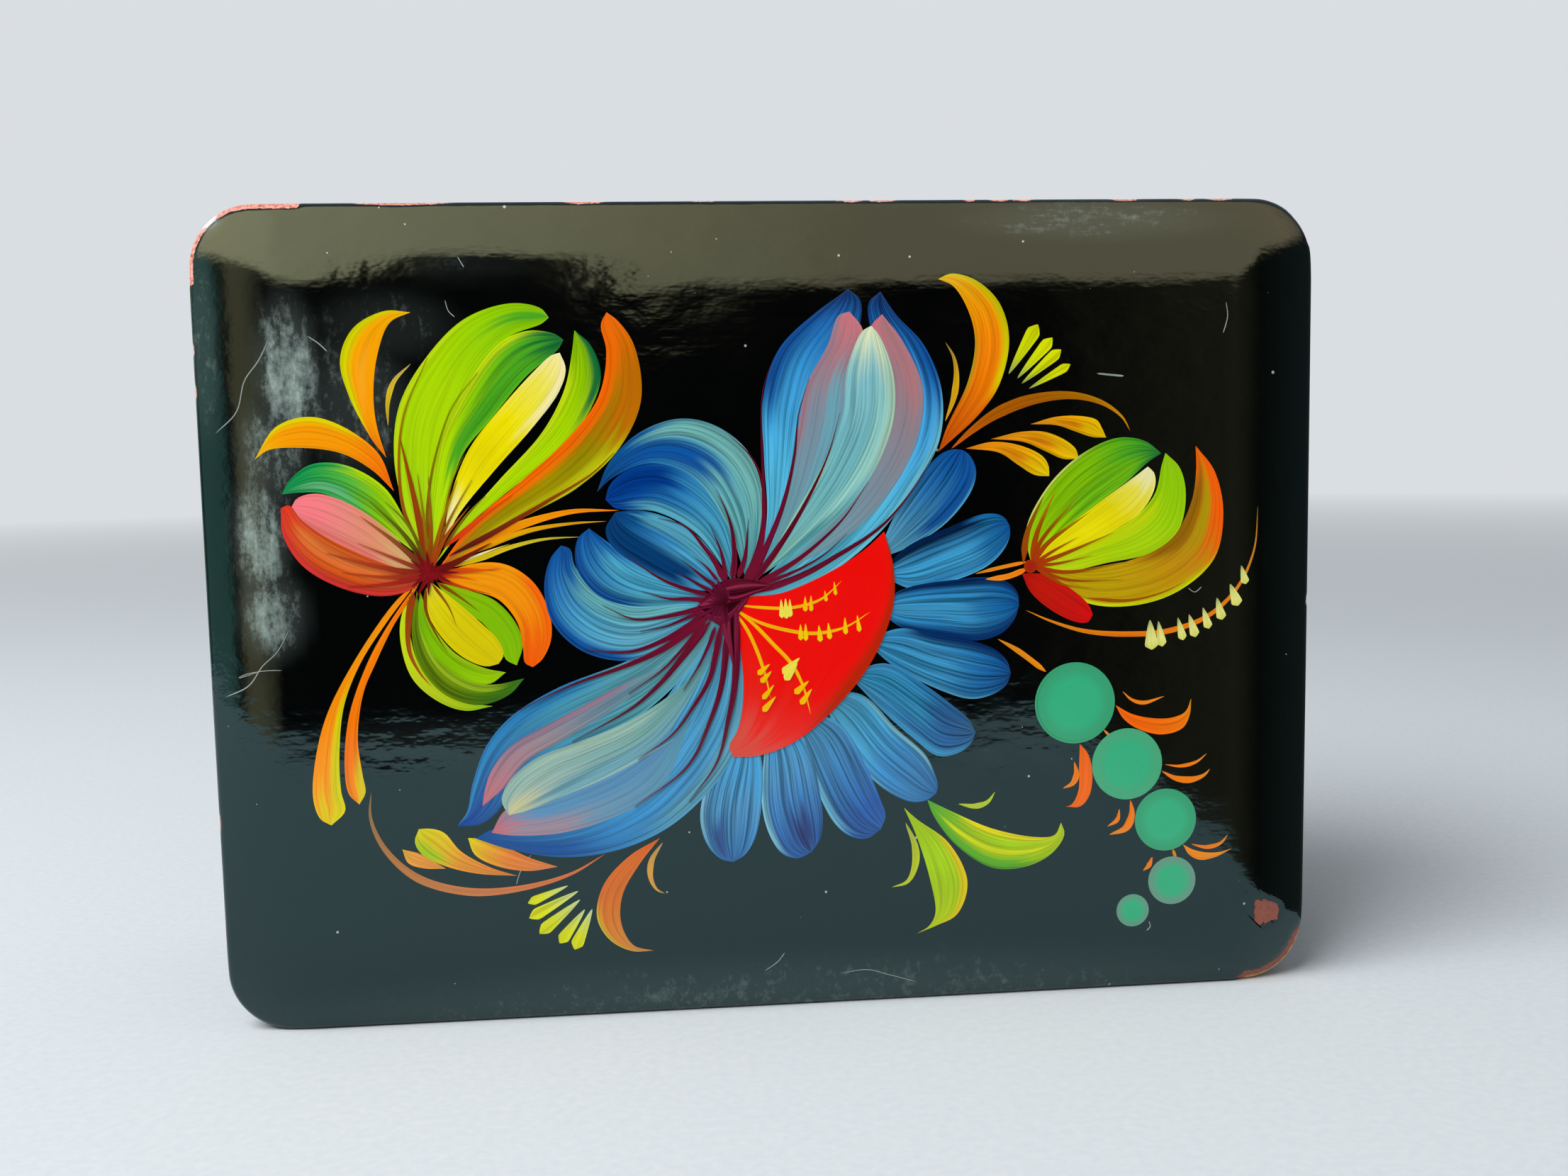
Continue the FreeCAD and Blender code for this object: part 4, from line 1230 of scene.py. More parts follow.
def blue_veins():
    """Dark wine-red lines that spring from the flower's centre."""
    lines = (
        ([(-4.8, 58.4), (-2.8, 62.4), (-1.6, 67), (-1.5, 72), (-2.9, 76), (-6.8, 80)], 1.15),
        ([(-4.4, 58.6), (-1.9, 64.6), (-1.5, 72), (-1.6, 79), (-1.3, 85), (0.3, 89.6)], 0.75),
        ([(-4.2, 58.4), (-1.3, 64), (1.2, 70), (2.8, 76.4), (3.5, 82), (5, 86.5)], 1.0),
        ([(-4, 58.6), (-0.2, 63.2), (4, 69.6), (7.4, 76.4), (9.1, 82)], 1.0),
        ([(-3.4, 58.8), (0.5, 60.8), (4, 63), (9.2, 67.6), (12.8, 72.6)], 0.85),
        ([(-2.4, 58.9), (3.4, 61.1), (7, 63.2), (9.8, 65.7)], 0.6),
        ([(-3.6, 57.8), (3.4, 60.1), (8.4, 62.7), (14.7, 66.7), (19.3, 72), (22, 76.6)], 1.0),
        ([(-5.2, 60), (-4.2, 62.8), (-3.6, 68)], 0.85),
        ([(-6, 59.6), (-5.6, 63.2), (-6.1, 67.6), (-7.8, 72)], 0.95),
        ([(-6.8, 59.6), (-7.4, 63.6), (-8.9, 67.4)], 0.7),
        ([(-7, 59.4), (-8.2, 62.2), (-9.6, 64.2), (-12.2, 67.2), (-15.8, 68.4)], 0.85),
        ([(-8, 59.8), (-9.4, 61.6), (-11, 63)], 0.5),
        ([(-8.2, 59), (-9.8, 60.2), (-12.6, 62.6)], 0.6),
        ([(-8.6, 58.2), (-10.7, 59.4), (-13.8, 61.3)], 0.6),
        ([(-8.8, 57.7), (-11.8, 58.6), (-15.4, 60.1), (-20.4, 63.6)], 0.7),
        ([(-9, 57.1), (-12, 57.4), (-14.6, 57.5), (-18.2, 58.6)], 0.75),
        ([(-9, 56.4), (-12.4, 55.6), (-15.7, 55), (-19.4, 54.9), (-23.6, 56.9)], 0.8),
        ([(-9.6, 55.8), (-12.6, 54.7), (-15, 53.8), (-18.6, 53.2)], 0.6),
        ([(-8.6, 56), (-12, 53.7), (-16.1, 51.6), (-20, 50.5), (-26.2, 50.9)], 1.15),
        ([(-8.6, 55.4), (-11.8, 53.2), (-15.4, 50.8), (-20, 48.8), (-28, 46.2), (-35.2, 43.1)], 1.1),
        ([(-9.6, 54.4), (-12.8, 50.8), (-15.7, 47.9), (-20.4, 44.8)], 0.6),
        ([(-9, 54.4), (-12.8, 49.7), (-16.1, 46), (-20, 42.8), (-28.2, 38.5)], 1.0),
        ([(-8.4, 53.6), (-9.4, 51), (-10.8, 48.3), (-13, 45)], 0.6),
        ([(-7.6, 54), (-8.4, 50), (-9.4, 46.4), (-11.6, 42.8), (-14.6, 39), (-19.4, 35.7)], 0.95),
        ([(-7, 53), (-7.2, 49), (-7.9, 45), (-9.3, 41), (-12.6, 34.6), (-20, 29.2)], 0.95),
        ([(-6.2, 55), (-5.7, 50), (-6, 45.3), (-6.9, 41), (-8.6, 35), (-12.6, 29.6)], 1.3),
        ([(-5.6, 55), (-5.4, 51), (-5.5, 47), (-6.2, 43)], 0.9),
    )
    wine = ["741430", "68102c", "5c0c24", "641c2c"]
    strokes = [line(points, width, wine, 0.1, 0.93, 0.5, 1.15) for points, width in lines]
    strokes += [
        petal(
            (-9.8, 55), [(-8.4, 59), (-5.4, 60)], [(-7.2, 53.6), (-4.2, 56.6)], (-3, 59.3),
            ["4c0a1c", "5c0c24", "6c1430"], STRANDS, 0.9,
        ),
        petal(
            (-6.4, 58), [(-7.6, 54), (-6.6, 50)], [(-5.2, 55), (-5.5, 51)], (-6, 47),
            ["50081c", "6c1430", "60102c"], STRANDS, 0.9,
        ),
        petal(
            (-10.8, 56.4), [(-8.4, 58.6), (-6, 58.4)], [(-9.4, 54.6), (-7, 54)], (-4.6, 57),
            ["68102c", "50081c", "44061a"], STRANDS, 0.9,
        ),
        petal(
            (-8.4, 58.2), [(-6, 59.7), (-3.4, 59.7)], [(-6, 56.9), (-3, 57.8)], (-0.6, 58.9),
            ["50081c", "68102c", "741430"], STRANDS, 0.9,
        ),
    ]
    for turn in range(70, 290, 17):
        reach = 3.1 + 1.0 * math.sin(math.radians(4 * turn))
        end = off_from((-7.2, 56.6), reach, turn)
        strokes.append(line([(-7, 56.7), end], 0.75, ["3c0614", "74183a"], 0.2, 0.75, 0.5))
    return strokes


def stamens():
    """Four yellow threads over the heart, with their dots of pollen."""
    start = (-6.7, 56.6)
    threads = (
        ([(-2.7, 56), (2, 55.8), (6, 56.8), (9, 59.3)], 0.42),
        ([(-3, 54.2), (0.7, 52.9), (5, 52.2), (9.3, 52.9), (12.8, 54.9)], 0.48),
        ([(-3.3, 53.8), (-0.7, 51), (1.8, 48.2), (3.4, 45), (4.4, 41)], 0.52),
        ([(-4.3, 53.3), (-2.7, 49.7), (-1.6, 46), (-1.1, 43.4)], 0.48),
    )
    strokes = [line([start, *points], width, ["ffb400", SUNNY], 0.3, 0.35) for points, width in threads]
    dots = (
        ((0.6, 57), (0.7, 54.4), 0.75, LEMON),
        ((1.2, 57.1), (1.3, 54.3), 0.8, LEMON),
        ((1.8, 57), (1.8, 54.5), 0.7, LEMON),
        ((3.9, 57.3), (3.9, 55.2), 0.65, SUNNY),
        ((4.7, 57.4), (4.7, 55.2), 0.6, SUNNY),
        ((6.6, 58), (6.8, 56.5), 0.5, SUNNY),
        ((7.9, 59.2), (8.1, 57.3), 0.5, SUNNY),
        ((3.2, 53.5), (3.2, 51.3), 0.7, "ffd000"),
        ((3.9, 53.6), (3.9, 51.2), 0.65, "ffd000"),
        ((5.7, 53.3), (5.9, 51), 0.75, "ffd000"),
        ((7, 53.6), (7.2, 51.3), 0.7, "ffd000"),
        ((9.3, 54.3), (9.4, 51.9), 0.65, "ffd000"),
        ((11, 54.5), (11.3, 52.2), 0.65, "ffd000"),
        ((3, 48.9), (0.6, 46.8), 1.2, LEMON),
        ((2.7, 48.2), (0.9, 45.9), 1.1, LEMON),
        ((4.2, 45.7), (2.2, 44), 0.9, SUNNY),
        ((4.6, 44.6), (3, 42.5), 0.85, SUNNY),
        ((-1.1, 48.2), (-2.8, 46.8), 0.8, SUNNY),
        ((-0.9, 47.2), (-2.4, 45.7), 0.8, SUNNY),
        ((-0.6, 45.3), (-2.2, 43.4), 0.75, SUNNY),
        ((-0.4, 43.7), (-2.2, 41.7), 0.85, SUNNY),
    )
    strokes += [drop(tail, end, width, [shade, shade], 0.1) for tail, end, width, shade in dots]
    return strokes


def right_sprig():
    """The curled leaf, arc, buds and drops over the right tulip."""
    drops = (
        ((32.3, 86.7), (36.4, 93.3), 1.9),
        ((33.5, 86.1), (38.4, 91.5), 1.6),
        ((34.1, 85.4), (39.6, 89.9), 1.5),
        ((35.1, 84.7), (40.9, 87.9), 1.2),
    )
    strokes = [
        petal(
            (22.5, 76.4), [(23.7, 79.7), (26.6, 85.6), (27.7, 91), (26.9, 95), (24.8, 98.5)],
            [(28.2, 81.4), (31, 85.3), (32.4, 91.4), (31.1, 96.2), (28, 99.2), (24.6, 100.2)], (22.7, 99.5),
            ["c44c00", "dc6400", "f47c00", "ff8c00", "f8a400", "e8bc20"],
            [("d8cc00", 1, 0.3, 0.34, 1), ("c8b020", 0, 0.12, 0.3, 0.6)], 0.35,
        ),
        line(
            [(23.5, 80.5), (24.7, 83.7), (25.1, 86.8), (24.7, 89.2), (23.6, 91.1)], 0.95,
            ["e0a010", "dca818", "907830"], 0.4, 0.6,
        ),
        line(
            [(24.3, 76.8), (27.3, 79.3), (30.7, 81.5), (35.4, 83.2), (41, 83.7), (45.4, 82.6), (48.2, 80.6),
             (49.3, 78.7)], 1.55, ["d86008", "b45c00", "a85c00", "b07000", "d89010"], 0.3, 0.6, 0.3,
        ),
        petal(
            (35.3, 79.9), [(38.7, 80.8), (42, 80.9), (44.6, 80.3), (45.3, 79.2)],
            [(39, 79.7), (41.6, 78.8), (44, 78)], (45.9, 77.9),
            ["d88810", "e8980c", "f0a400", "ecb800", "e8c000"], [("d88000", 0.6, 0.3, 0.35, 0.65)], 0.45,
        ),
        petal(
            (29.8, 78), [(34, 78.9), (37.4, 78.8), (40.4, 77.5), (41.7, 76.3)],
            [(34.4, 77.5), (37.4, 76.2), (39.9, 75.1)], (42, 75.1),
            ["d88010", "f09808", "f0a000", "ecb400", "e8c800"], [("d88000", 0.6, 0.3, 0.35, 0.65)], 0.45,
        ),
        petal(
            (26.3, 76.8), [(30, 77.6), (34, 77), (37, 75.5), (37.8, 74.2)],
            [(31, 76.1), (33.6, 74.4), (35.9, 73)], (37.9, 72.8),
            ["d88010", "f09408", "f09c00", "ecb800", "e8d000"], [("d88000", 0.6, 0.3, 0.35, 0.65)], 0.45,
        ),
    ]
    pale = ["98a458", "d0dc10", "dce400", "d8e000"]
    strokes += [drop(tail, end, width, pale, 0.35) for tail, end, width in drops]
    return strokes


def right_tulip():
    root = (35.4, 60.6)
    strokes = [
        line([(27.5, 59.7), (30.7, 60.4), (35, 61.2)], 0.5, [AMBER, "ff8c10"], 0.3, 0.2),
        line([(28.9, 58.9), (32, 59.2), (35, 60.3)], 0.75, ["ff9410", "ff8410"], 0.3, 0.2),
        petal(
            root, [(43.3, 60), (50.7, 61.4), (55.6, 64.3), (58, 68.7), (58.7, 73)],
            [(38.4, 58.4), (43.3, 55.2), (50, 54.7), (56.4, 56.6), (61.4, 61), (62.6, 67.3), (61.3, 73)],
            (58.6, 76.5), ["ccac00", "c4a400", "c8a000", "cc8c08", "e07808", FLAME],
            [("ff6400", 0.9, 0.5, 0.66, 1), ("9c6800", 0.1, 0.3, 0.5, 0.9), ("d8e000", 1, 0.14, 0.12, 0.62),
             ("b49c00", 0.45, 0.2, 0.62, 0.9)], 0.3,
        ),
        line([(43, 55.9), (49, 55.4), (54, 56.4), (57.6, 58)], 0.5, ["a84c00", "a06000"], 0.2, 0.8),
        petal(
            root, [(43.3, 63.6), (49.7, 66.7), (52.8, 70), (53.8, 74)],
            [(39.3, 59.6), (46, 60.7), (52.4, 62), (56.2, 65), (57.2, 70), (56.3, 73.6)], (54.3, 75.6),
            ["d0dc10", SPRING, "b4dc00", LIME, "98d400", "94cc08"], [("c8dc00", 0.1, 0.3, 0.2, 0.7)], 0.22,
        ),
        petal(
            root, [(34.6, 65.3), (37.4, 71), (42, 75.4), (47.4, 77.8), (51.4, 77.3)],
            [(39, 64.4), (44, 68.4), (49, 72), (51.8, 74.4)], (53.7, 75.6),
            [LIME, "98d000", LEAF, "7cbc08", GREEN, BOTTLE],
            [("dcdc70", 0, 0.06, 0.1, 0.6), ("70bc14", 0.8, 0.3, 0.4, 0.85)], 0.45,
        ),
        petal(
            (35.7, 60.9), [(38.8, 64.4), (44, 68.4), (49.7, 72.3)],
            [(40.4, 62.1), (46.7, 65), (51, 67.8), (52.8, 71), (52.7, 72.9)], (51.8, 73.8),
            ["e4d410", "f0e400", YELLOW, "f0e000", "f4e850", CREAM], [("f4f0b0", 0.5, 0.8, 0.86, 1)], 0.15,
        ),
        petal(
            (34, 59.6), [(37.4, 59.3), (41, 57.2), (43.4, 55)],
            [(35.2, 57), (38.4, 54.2), (41.8, 52.6), (43.4, 52.6)], (44, 53.6),
            ["b41008", "c81808", "cc1408", "d00c08", "e40008"], (), 0.3,
        ),
    ]
    sprays = (
        ((36, 64.6), (38.8, 71), 0.85),
        ((36.6, 63.8), (42, 70), 0.6),
        ((37.4, 63.4), (43.6, 67.8), 0.7),
        ((38, 62.3), (42, 64.4), 0.5),
        ((39.4, 61.9), (47, 64.9), 0.6),
        ((39, 60.8), (44, 61.8), 0.45),
        ((40, 59.6), (49, 60.8), 0.55),
        ((40, 58.6), (48.4, 58.3), 0.45),
        ((39.6, 58), (43.6, 57.2), 0.4),
    )
    for middle, end, width in sprays:
        strokes.append(line([root, middle, end], width, ["b83008", "9c5000", "b89400"], 0.15, 0.75))
    strokes.append(line([(34.2, 61), (34.8, 65.2), (37, 70)], 0.9, ["a84008", "8c5c00"], 0.2, 0.8))
    strokes.append(berry((35.2, 60.5), 0.9, ["b02008", "a83008"]))
    return strokes


def pearl_arc():
    """The thin orange arc that carries a row of pale drops."""
    arc = [
        (34.5, 54.5), (38, 52.9), (43, 51.3), (49.3, 50.7), (55, 51), (60.7, 53), (64.8, 56.8), (67.2, 62),
        (67.7, 68),
    ]
    drops = (
        ((52.2, 52.6), (52.5, 48.4), 1.9),
        ((53.4, 52.4), (54, 48.8), 1.35),
        ((56.2, 52.8), (57, 49.6), 1.2),
        ((57.8, 53.2), (58.8, 50), 1.35),
        ((59.8, 54.1), (60.7, 51.1), 1.25),
        ((61.8, 55.4), (62.6, 52.3), 1.4),
        ((63.7, 57.3), (64.9, 54.2), 1.6),
        ((65.3, 59.8), (66, 57.2), 1.2),
    )
    strokes = [line(arc, 0.75, [AMBER, "f07c08", "f08408", "c08830"], 0.3, 0.5)]
    pale = ["a8a868", "e0e480", "f0ec88", "dce060"]
    strokes += [drop(tail, end, width, pale, 0.25) for tail, end, width in drops]
    return strokes


def berries():
    strokes = [
        line([(30.6, 50.6), (33.4, 48.9), (37.4, 45.8)], 0.75, [AMBER, "f89010"], 0.4, 0.15),
        berry((41.5, 41.3), 5.7, [JADE, JADE_DARK]),
        line([(45.6, 37.4), (46.9, 36)], 0.35, [AMBER, "c8a050"], 0.3, 0.4),
        berry((49, 32.4), 5.05, [JADE, "4cb080"]),
        berry((54.6, 24.2), 4.45, [JADE, JADE_DARK]),
        line([(55.7, 19.9), (56.2, 18.4)], 0.45, [AMBER, AMBER], 0.3, 0.3),
        berry((55.6, 15.4), 3.45, [JADE, SAGE]),
        berry((49.9, 11.3), 2.35, [JADE, SAGE]),
        petal(
            (47.3, 40.8), [(48.4, 38.9), (50.4, 37.4), (54, 36.4), (57, 37.2), (58, 39)],
            [(49.6, 39.5), (52.3, 38.8), (55.3, 38.7), (57.4, 39.5)], (58.2, 41.3),
            [FLAME, FLAME, "ff7000", "ff7c00", "e89010"],
        ),
        petal(
            (42.2, 35.5), [(42.1, 32), (42, 28.8), (41, 26.9)],
            [(43.4, 34), (44, 31), (43.5, 28), (42.2, 26.6)], (40.2, 26.7),
            ["f86800", "ff6c08", "ff6c08", "f47010"],
        ),
        petal(
            (57.2, 20.5), [(58, 19.1), (59.6, 18.2), (62, 18.5)],
            [(58.7, 19.7), (60.7, 19.2), (62.7, 19.2)], (64.3, 19.6),
            ["f89018", "f88c10", "f09020", "e09838"],
        ),
    ]
    commas = (
        ([(48.3, 42.7), (49.6, 41.5), (51.3, 41), (54.3, 41.8)], 0.55),
        ([(41.4, 33), (41.7, 31.2), (41.2, 30), (39.8, 29.3)], 0.85),
        ([(54.5, 32.1), (56.7, 31.8), (59, 32.3), (60.5, 33.4)], 0.5),
        ([(54, 31.2), (56, 30.1), (58.3, 29.8), (60.2, 30.4), (61, 31.2)], 0.95),
        ([(49.5, 27.2), (49.7, 25.2), (48.9, 23.3), (46.5, 22.4)], 1.1),
        ([(47.9, 26), (47.6, 24.5), (46.2, 23.6)], 0.6),
        ([(58.4, 20.5), (60.7, 20), (62.7, 20.5), (63.7, 21.6)], 0.6),
        ([(52.7, 18.9), (52.2, 17.7), (51.4, 17)], 0.65),
    )
    strokes += [line(points, width, ["f88010", "ff8408", "e89030"], 0.45, 0.45) for points, width in commas]
    return strokes


def bottom_leaves():
    return [
        petal(
            (17.2, 27.5), [(19, 25.8), (23.5, 22.2), (26.1, 16.5), (24.6, 12), (21.6, 10.5)],
            [(18.9, 23.5), (20.7, 17.5), (21.5, 12.3), (20.6, 10.5)], (18.9, 9.5),
            ["a8cc20", "a8cc00", LIME, "a8cc00", "b8d400", "c0c820"], [("e4c800", 0, 0.3, 0.3, 0.9)], 0.3,
        ),
        petal(
            (20.5, 28.5), [(23.7, 26.8), (29.7, 24), (36, 22.5), (38.6, 22.7)],
            [(21.3, 26.3), (24.5, 21.9), (29.7, 18.4), (34.6, 18.4), (38.3, 20.2), (40, 22.8)],
            (39.5, 24.4), ["4ca838", "7cc020", "a8cc00", LIME, "a8cc00", "c0d420"],
            [("e8dc00", 0.04, 0.2, 0.28, 0.9), ("5cac28", 0.96, 0.4, 0, 0.7),
             ("d8e000", 0.55, 0.12, 0.2, 0.85)], 0.4,
        ),
        line(
            [(17.4, 25.4), (18.7, 22), (18.7, 19.3), (17.6, 17), (15.4, 16.3)], 1.05,
            ["a8b840", "c4d020", "c0cc30"], 0.4, 0.5,
        ),
        line([(24.9, 27.7), (27.3, 27.3), (29, 27.8), (30.1, 29.2)], 0.8, ["b8cc30", "bcd030"], 0.45, 0.5),
    ]


def bottom_sprig():
    """The arc, buds, drops and curled leaf at the lower left."""
    drops = (
        ((-29.4, 18.6), (-34.9, 16.4), 1.2),
        ((-28, 17.8), (-34.8, 14.3), 1.6),
        ((-27.8, 16.6), (-33.5, 12.1), 1.7),
        ((-27.2, 15.2), (-30.8, 10.6), 1.6),
        ((-26.2, 15.2), (-28.8, 9.6), 1.7),
    )
    arc = [
        (-55.2, 32.6), (-55.4, 29), (-53.7, 24.7), (-49.6, 20.6), (-43, 18.4), (-36, 18.5), (-29, 20.2),
        (-24.2, 22.8),
    ]
    strokes = [
        line(arc, 1.1, ["847048", "b87840", "c87c48", "d87848", "e07440"], 0.35, 0.45, 0.3),
        petal(
            (-45.7, 21.7), [(-48.7, 21.9), (-50.7, 22.7)], [(-47.6, 23), (-49.3, 24)], (-51.4, 24.6),
            ["d89038", "e8943c", "f0a03c", "e8a838"],
        ),
        petal(
            (-36.2, 20.3), [(-41.3, 20.8), (-45.6, 22), (-48.8, 23.8), (-49.7, 25.6)],
            [(-39.7, 21.6), (-43.6, 24), (-45.8, 26.7), (-47.6, 27.3)], (-49.1, 27.3),
            ["c87c40", "e08838", "ec9830", "e8c810", "e0d400"], [("a8c810", 0.1, 0.4, 0.62, 0.9)], 0.35,
        ),
        petal(
            (-30.7, 21.3), [(-34.7, 20.9), (-39, 21.8), (-41.8, 23.5)],
            [(-34.4, 22.7), (-38, 24.6), (-40.5, 25.6)], (-42.6, 25.8),
            ["d88048", "e88440", "f08838", "ecac20", "e8dc00"], (), 0.3,
        ),
        petal(
            (-16.7, 24.7), [(-21, 22.3), (-24.6, 18.4), (-25.6, 14), (-24, 10.8), (-21, 9)],
            [(-19.7, 21), (-22, 17), (-22.3, 13), (-20.7, 9.8)], (-18, 8.9),
            ["e06420", "e07024", "dc7028", "dc7828", "d88838", "c88c58"], [("d8b828", 0, 0.25, 0.55, 0.95)],
            0.3,
        ),
        line(
            [(-16.3, 24.1), (-17.9, 21.6), (-18.1, 19.2), (-17.3, 17.5), (-16.2, 16.9)], 0.85,
            ["a89058", "e0a040", "c8a058"], 0.4, 0.5,
        ),
    ]
    pale = ["c8d8a0", "d0dc60", "dce010", "d8dc00"]
    strokes += [drop(tail, end, width, pale, 0.35) for tail, end, width in drops]
    return strokes


def stray_marks():
    """Fibres caught in the varnish and fine scratches."""
    marks = (
        ([(-65.4, 93), (-67, 90), (-69, 87.4), (-70.3, 83.4), (-73.4, 80.6)], 0.2),
        ([(-60.6, 93), (-59.2, 92), (-58.2, 91)], 0.2),
        ([(-42.8, 97.4), (-42.4, 96), (-41.6, 95.2)], 0.14),
        ([(-41, 103), (-40.2, 101.6)], 0.14),
        ([(-64.7, 55), (-66.6, 51.8), (-68.6, 50), (-70.6, 47.4), (-74, 45.8)], 0.18),
        ([(-69, 49.3), (-72, 48.4), (-71, 48.9), (-68, 49.4), (-66, 49.4)], 0.12),
        ([(8, 4), (11.8, 4.4), (15, 3.4), (19, 2)], 0.16),
        ([(-2.6, 5), (-0.8, 6.3), (0.2, 7.6)], 0.14),
        ([(-34.2, 23.2), (-35.6, 21.2), (-36.4, 19)], 0.12),
        ([(44.6, 86.6), (46.4, 86.4), (48.4, 86.2)], 0.35),
        ([(62.8, 96), (63, 94), (62.4, 91.8)], 0.12),
        ([(57.6, 56.9), (58.6, 56.3), (59.6, 57)], 0.14),
        ([(52.3, 9.6), (52.5, 8.8), (52, 8.2)], 0.16),
    )
    return [line(points, 0.7 * width, ["8a9690", "a2aca8"], 0.1, 0.1, 0.5) for points, width in marks]


# The motifs in the order that they are painted, and how far each stands over the others
MOTIFS = (
    ("left_leaves", left_leaves, 0.0),
    ("left_long_drips", long_drips, 0.0),
    ("left_streaks", left_streaks, 0.0),
    ("left_bud", left_bud, 0.0),
    ("left_tulip", left_tulip, 0.0),
    ("left_tulip_veins", left_tulip_veins, 0.07),
    ("blue_fringe_petals", blue_fringe, 0.0),
    ("blue_low_petal", blue_low_petal, 0.06),
    ("blue_side_petals", blue_side_petals, 0.09),
    ("blue_top_petal", blue_top_petal, 0.12),
    ("red_heart", heart, 0.15),
    ("blue_flower_veins", blue_veins, 0.16),
    ("stamens", stamens, 0.17),
    ("right_sprig", right_sprig, 0.0),
    ("right_tulip", right_tulip, 0.05),
    ("pearl_arc", pearl_arc, 0.0),
    ("green_berries", berries, 0.0),
    ("bottom_leaves", bottom_leaves, 0.0),
    ("bottom_sprig", bottom_sprig, 0.03),
    ("stray_marks", stray_marks, 0.0),
)


def bouquet():
    for name, strokes, over in MOTIFS:
        paint(name, strokes(), FIRST_LIFT + over)


# ---------------------------------------------------------------- the CAD pieces' finishes


def finish_cad_pieces():
    """Gives each CAD piece its coat: lacquer on the board, brass on the hinges and nails."""
    for name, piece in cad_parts.items():
        piece.data.materials.clear()
        piece.data.materials.append(BRASS if "hinge" in name else LACQUER_COAT)


# ---------------------------------------------------------------- stage, lights and camera


# The stretch of floor that shows in the lacquer's reflections, in x and y, and the whole floor
REFLECTED_X = (-400.0, 94.0)
REFLECTED_Y = (-222.0, 500.0)
FLOOR_REACH = 3000.0

WINDOW_PLACE = (-0.60, -0.45, 0.95)
WINDOW_AIM = (0, 0, 0.05)
WINDOW_SIDE = 0.8
WINDOW_POWER = 15.5
WINDOW_TINT = (1.0, 0.985, 0.965)


def sheet(name, corners, faces):
    mesh = new_mesh(name, [(x * MM, y * MM, 0.0) for x, y in corners], faces)
    mesh.materials.append(PAPER)
    piece = new_object(name, mesh)
    return piece


def floor():
    """A pale floor. Only the part round the box shows in the lacquer's reflections."""
    (left, right), (front, rear) = REFLECTED_X, REFLECTED_Y
    near = [(left, front), (right, front), (right, rear), (left, rear)]
    sheet("floor_near", near, [(0, 1, 2, 3)])
    r = FLOOR_REACH
    far = [(-r, -r), (r, -r), (r, r), (-r, r)]
    outer = sheet("floor_far", far + near, [(0, 1, 5, 4), (1, 2, 6, 5), (2, 3, 7, 6), (3, 0, 4, 7)])
    outer.visible_glossy = False


def window():
    """The one soft light, high at the left in front. It doesn't show in the reflections."""
    light = bpy.data.lights.new("window", "AREA")
    light.shape = "RECTANGLE"
    light.size = WINDOW_SIDE
    light.size_y = WINDOW_SIDE
    light.energy = WINDOW_POWER
    light.color = WINDOW_TINT
    lamp = new_object("window", light)
    lamp.location = WINDOW_PLACE
    lamp.rotation_euler = (Vector(WINDOW_AIM) - Vector(WINDOW_PLACE)).to_track_quat("-Z", "Y").to_euler()
    lamp.visible_glossy = False


# What the lacquer reflects at eye level, from the left of the room (0) to the right (1)
ROOM = (
    (0.0, (0.10, 0.20, 0.18)),
    (0.05, (0.40, 0.70, 0.60)),
    (0.13, (0.35, 0.62, 0.52)),
    (0.16, (0.03, 0.04, 0.04)),
    (0.19, (1.0, 0.62, 0.34)),
    (0.235, (0.9, 0.58, 0.32)),
    (0.32, (0.015, 0.014, 0.014)),
    (0.62, (0.008, 0.007, 0.007)),
    (0.70, (0.22, 0.14, 0.08)),
    (0.80, (0.03, 0.03, 0.02)),
    (1.0, (0.10, 0.12, 0.12)),
)
# How high the ceiling's edge stands in the reflections, over the same way
CEILING_EDGE = (
    (0.0, 0.42), (0.30, 0.30), (0.36, 0.20), (0.405, 0.18), (0.425, 0.42), (0.483, 0.38),
    (0.495, 0.07), (0.53, 0.15), (0.62, 0.15), (0.70, 0.12), (0.80, 0.32), (1.0, 0.42),
)
EDGE_BLUR = 0.07
EDGE_NOISE = 0.16
# The ceiling's light at the left and further right, the light from behind the box, and the light
# that falls on all of it
CEILING_LEFT = (4.4, 2.8, 1.6)
CEILING = (2.05, 1.2, 0.72)
ELSEWHERE = (0.34, 0.36, 0.38)
FILL = (0.30, 0.30, 0.31)


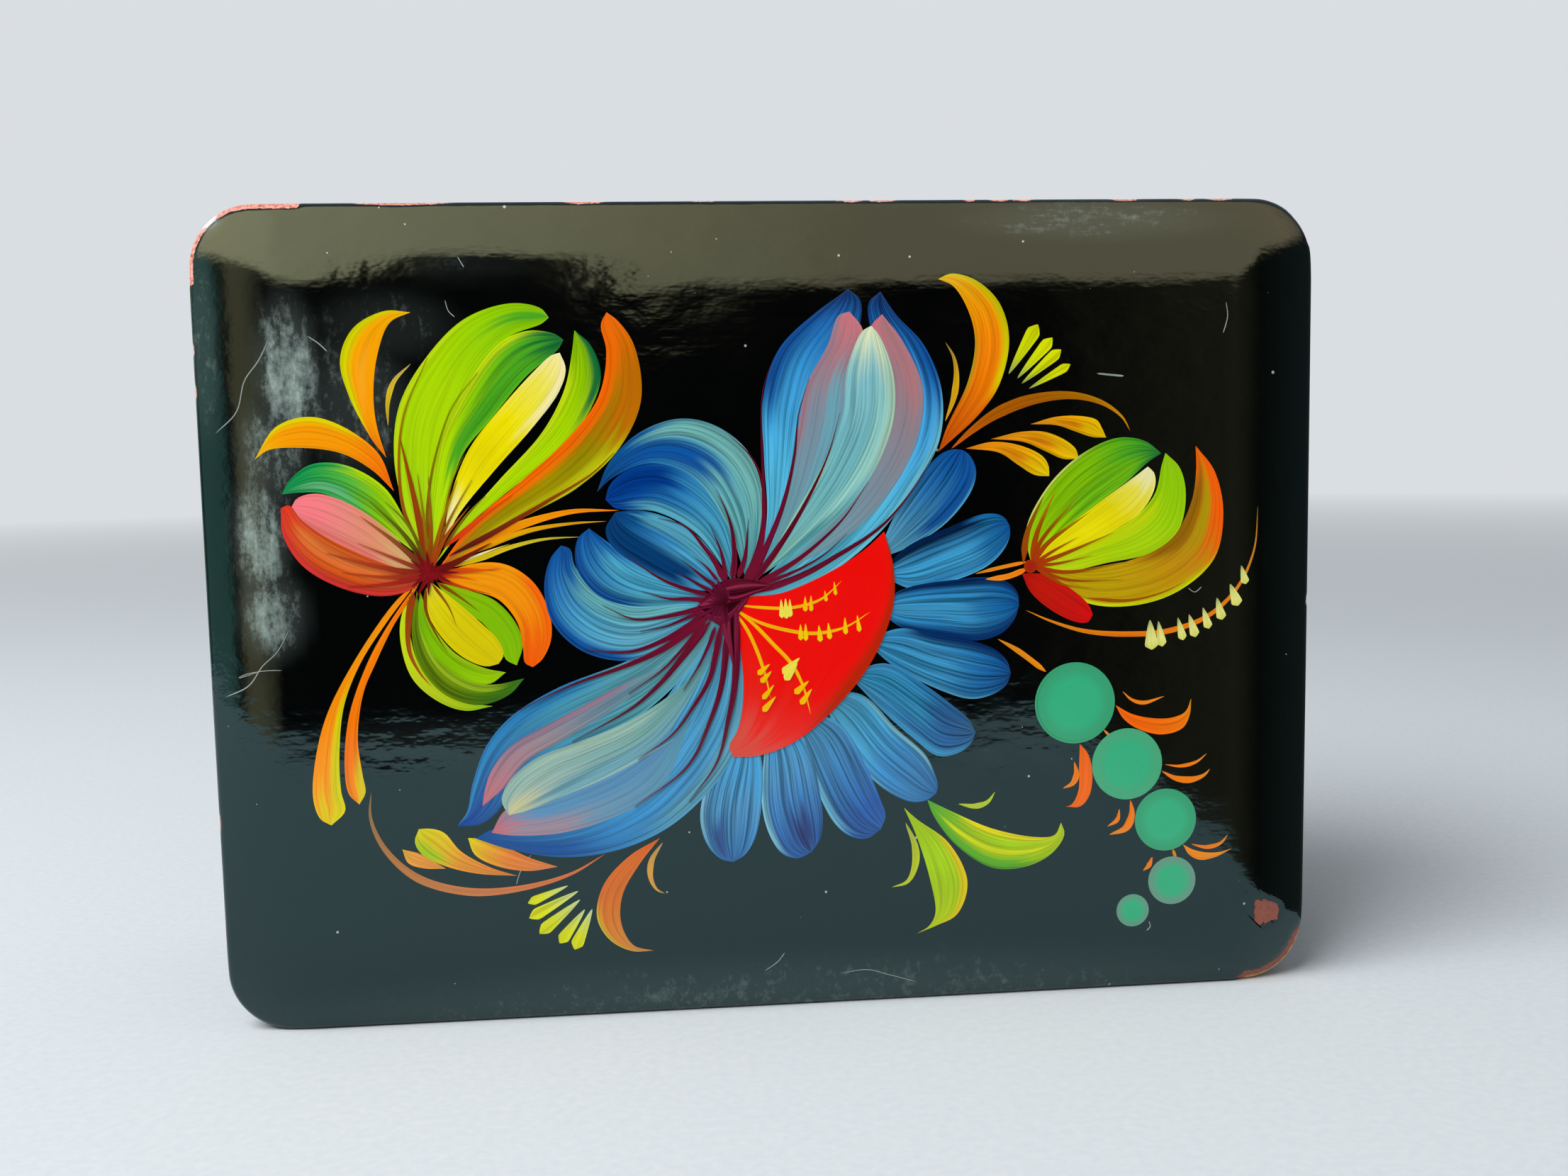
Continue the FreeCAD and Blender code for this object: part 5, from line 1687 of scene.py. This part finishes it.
def surroundings():
    """A pale studio for the camera, with a dim room and a warm ceiling in the reflections."""
    world = bpy.data.worlds.new("studio")
    g = Graph(world)
    way = g.node("TexCoord").outputs["Generated"]
    parts = g.split(way)
    across = g.span(parts["X"], -1.0, 1.0)
    walls = g.ramp(across, ROOM)
    edge = g.ramp(across, [(place, (height,) * 3) for place, height in CEILING_EDGE])
    fraying = g.noise(g.scaled(way, (22, 22, 40)), 1.0, 5.0, 0.7)
    height = g.plus(g.minus(parts["Z"], edge), g.times(g.minus(fraying, 0.5), EDGE_NOISE))
    ceiling = g.mix(g.span(parts["X"], -0.35, 0.15), (*CEILING_LEFT, 1.0), (*CEILING, 1.0))
    ceiling = g.mix(g.span(parts["Y"], -0.45, -0.25), ceiling, (*ELSEWHERE, 1.0))
    room = g.mix(g.span(height, 0.0, EDGE_BLUR), walls, ceiling)
    path = g.node("LightPath").outputs
    lit = g.mix(path["Is Glossy Ray"], (*FILL, 1.0), room)
    seen = g.mix(path["Is Camera Ray"], lit, (*BACKDROP, 1.0))
    g.feed(g.tree.nodes["Background"].inputs["Color"], seen)
    bpy.context.scene.world = world


CAMERA_PLACE = (-17.6, -228.2, 78.9)
CAMERA_YAW = -5.215
CAMERA_PITCH = -5.668
CAMERA_ROLL = 1.103
CAMERA_LENS = 35.15
CAMERA_SENSOR = 36.0
CAMERA_NEAR = 0.005


def camera():
    view = bpy.data.cameras.new("camera")
    view.sensor_width = CAMERA_SENSOR
    view.lens = CAMERA_LENS
    view.clip_start = CAMERA_NEAR
    holder = new_object("camera", view)
    turn = Matrix.Rotation(math.radians(CAMERA_YAW), 4, "Z")
    tip = Matrix.Rotation(math.radians(90 + CAMERA_PITCH), 4, "X")
    roll = Matrix.Rotation(math.radians(-CAMERA_ROLL), 4, "Z")
    holder.matrix_world = Matrix.Translation(Vector(CAMERA_PLACE) * MM) @ turn @ tip @ roll
    bpy.context.scene.camera = holder


camera()
surroundings()
floor()
window()
finish_cad_pieces()
lid_face()
bouquet()
bpy.context.scene.view_settings.view_transform = "Standard"
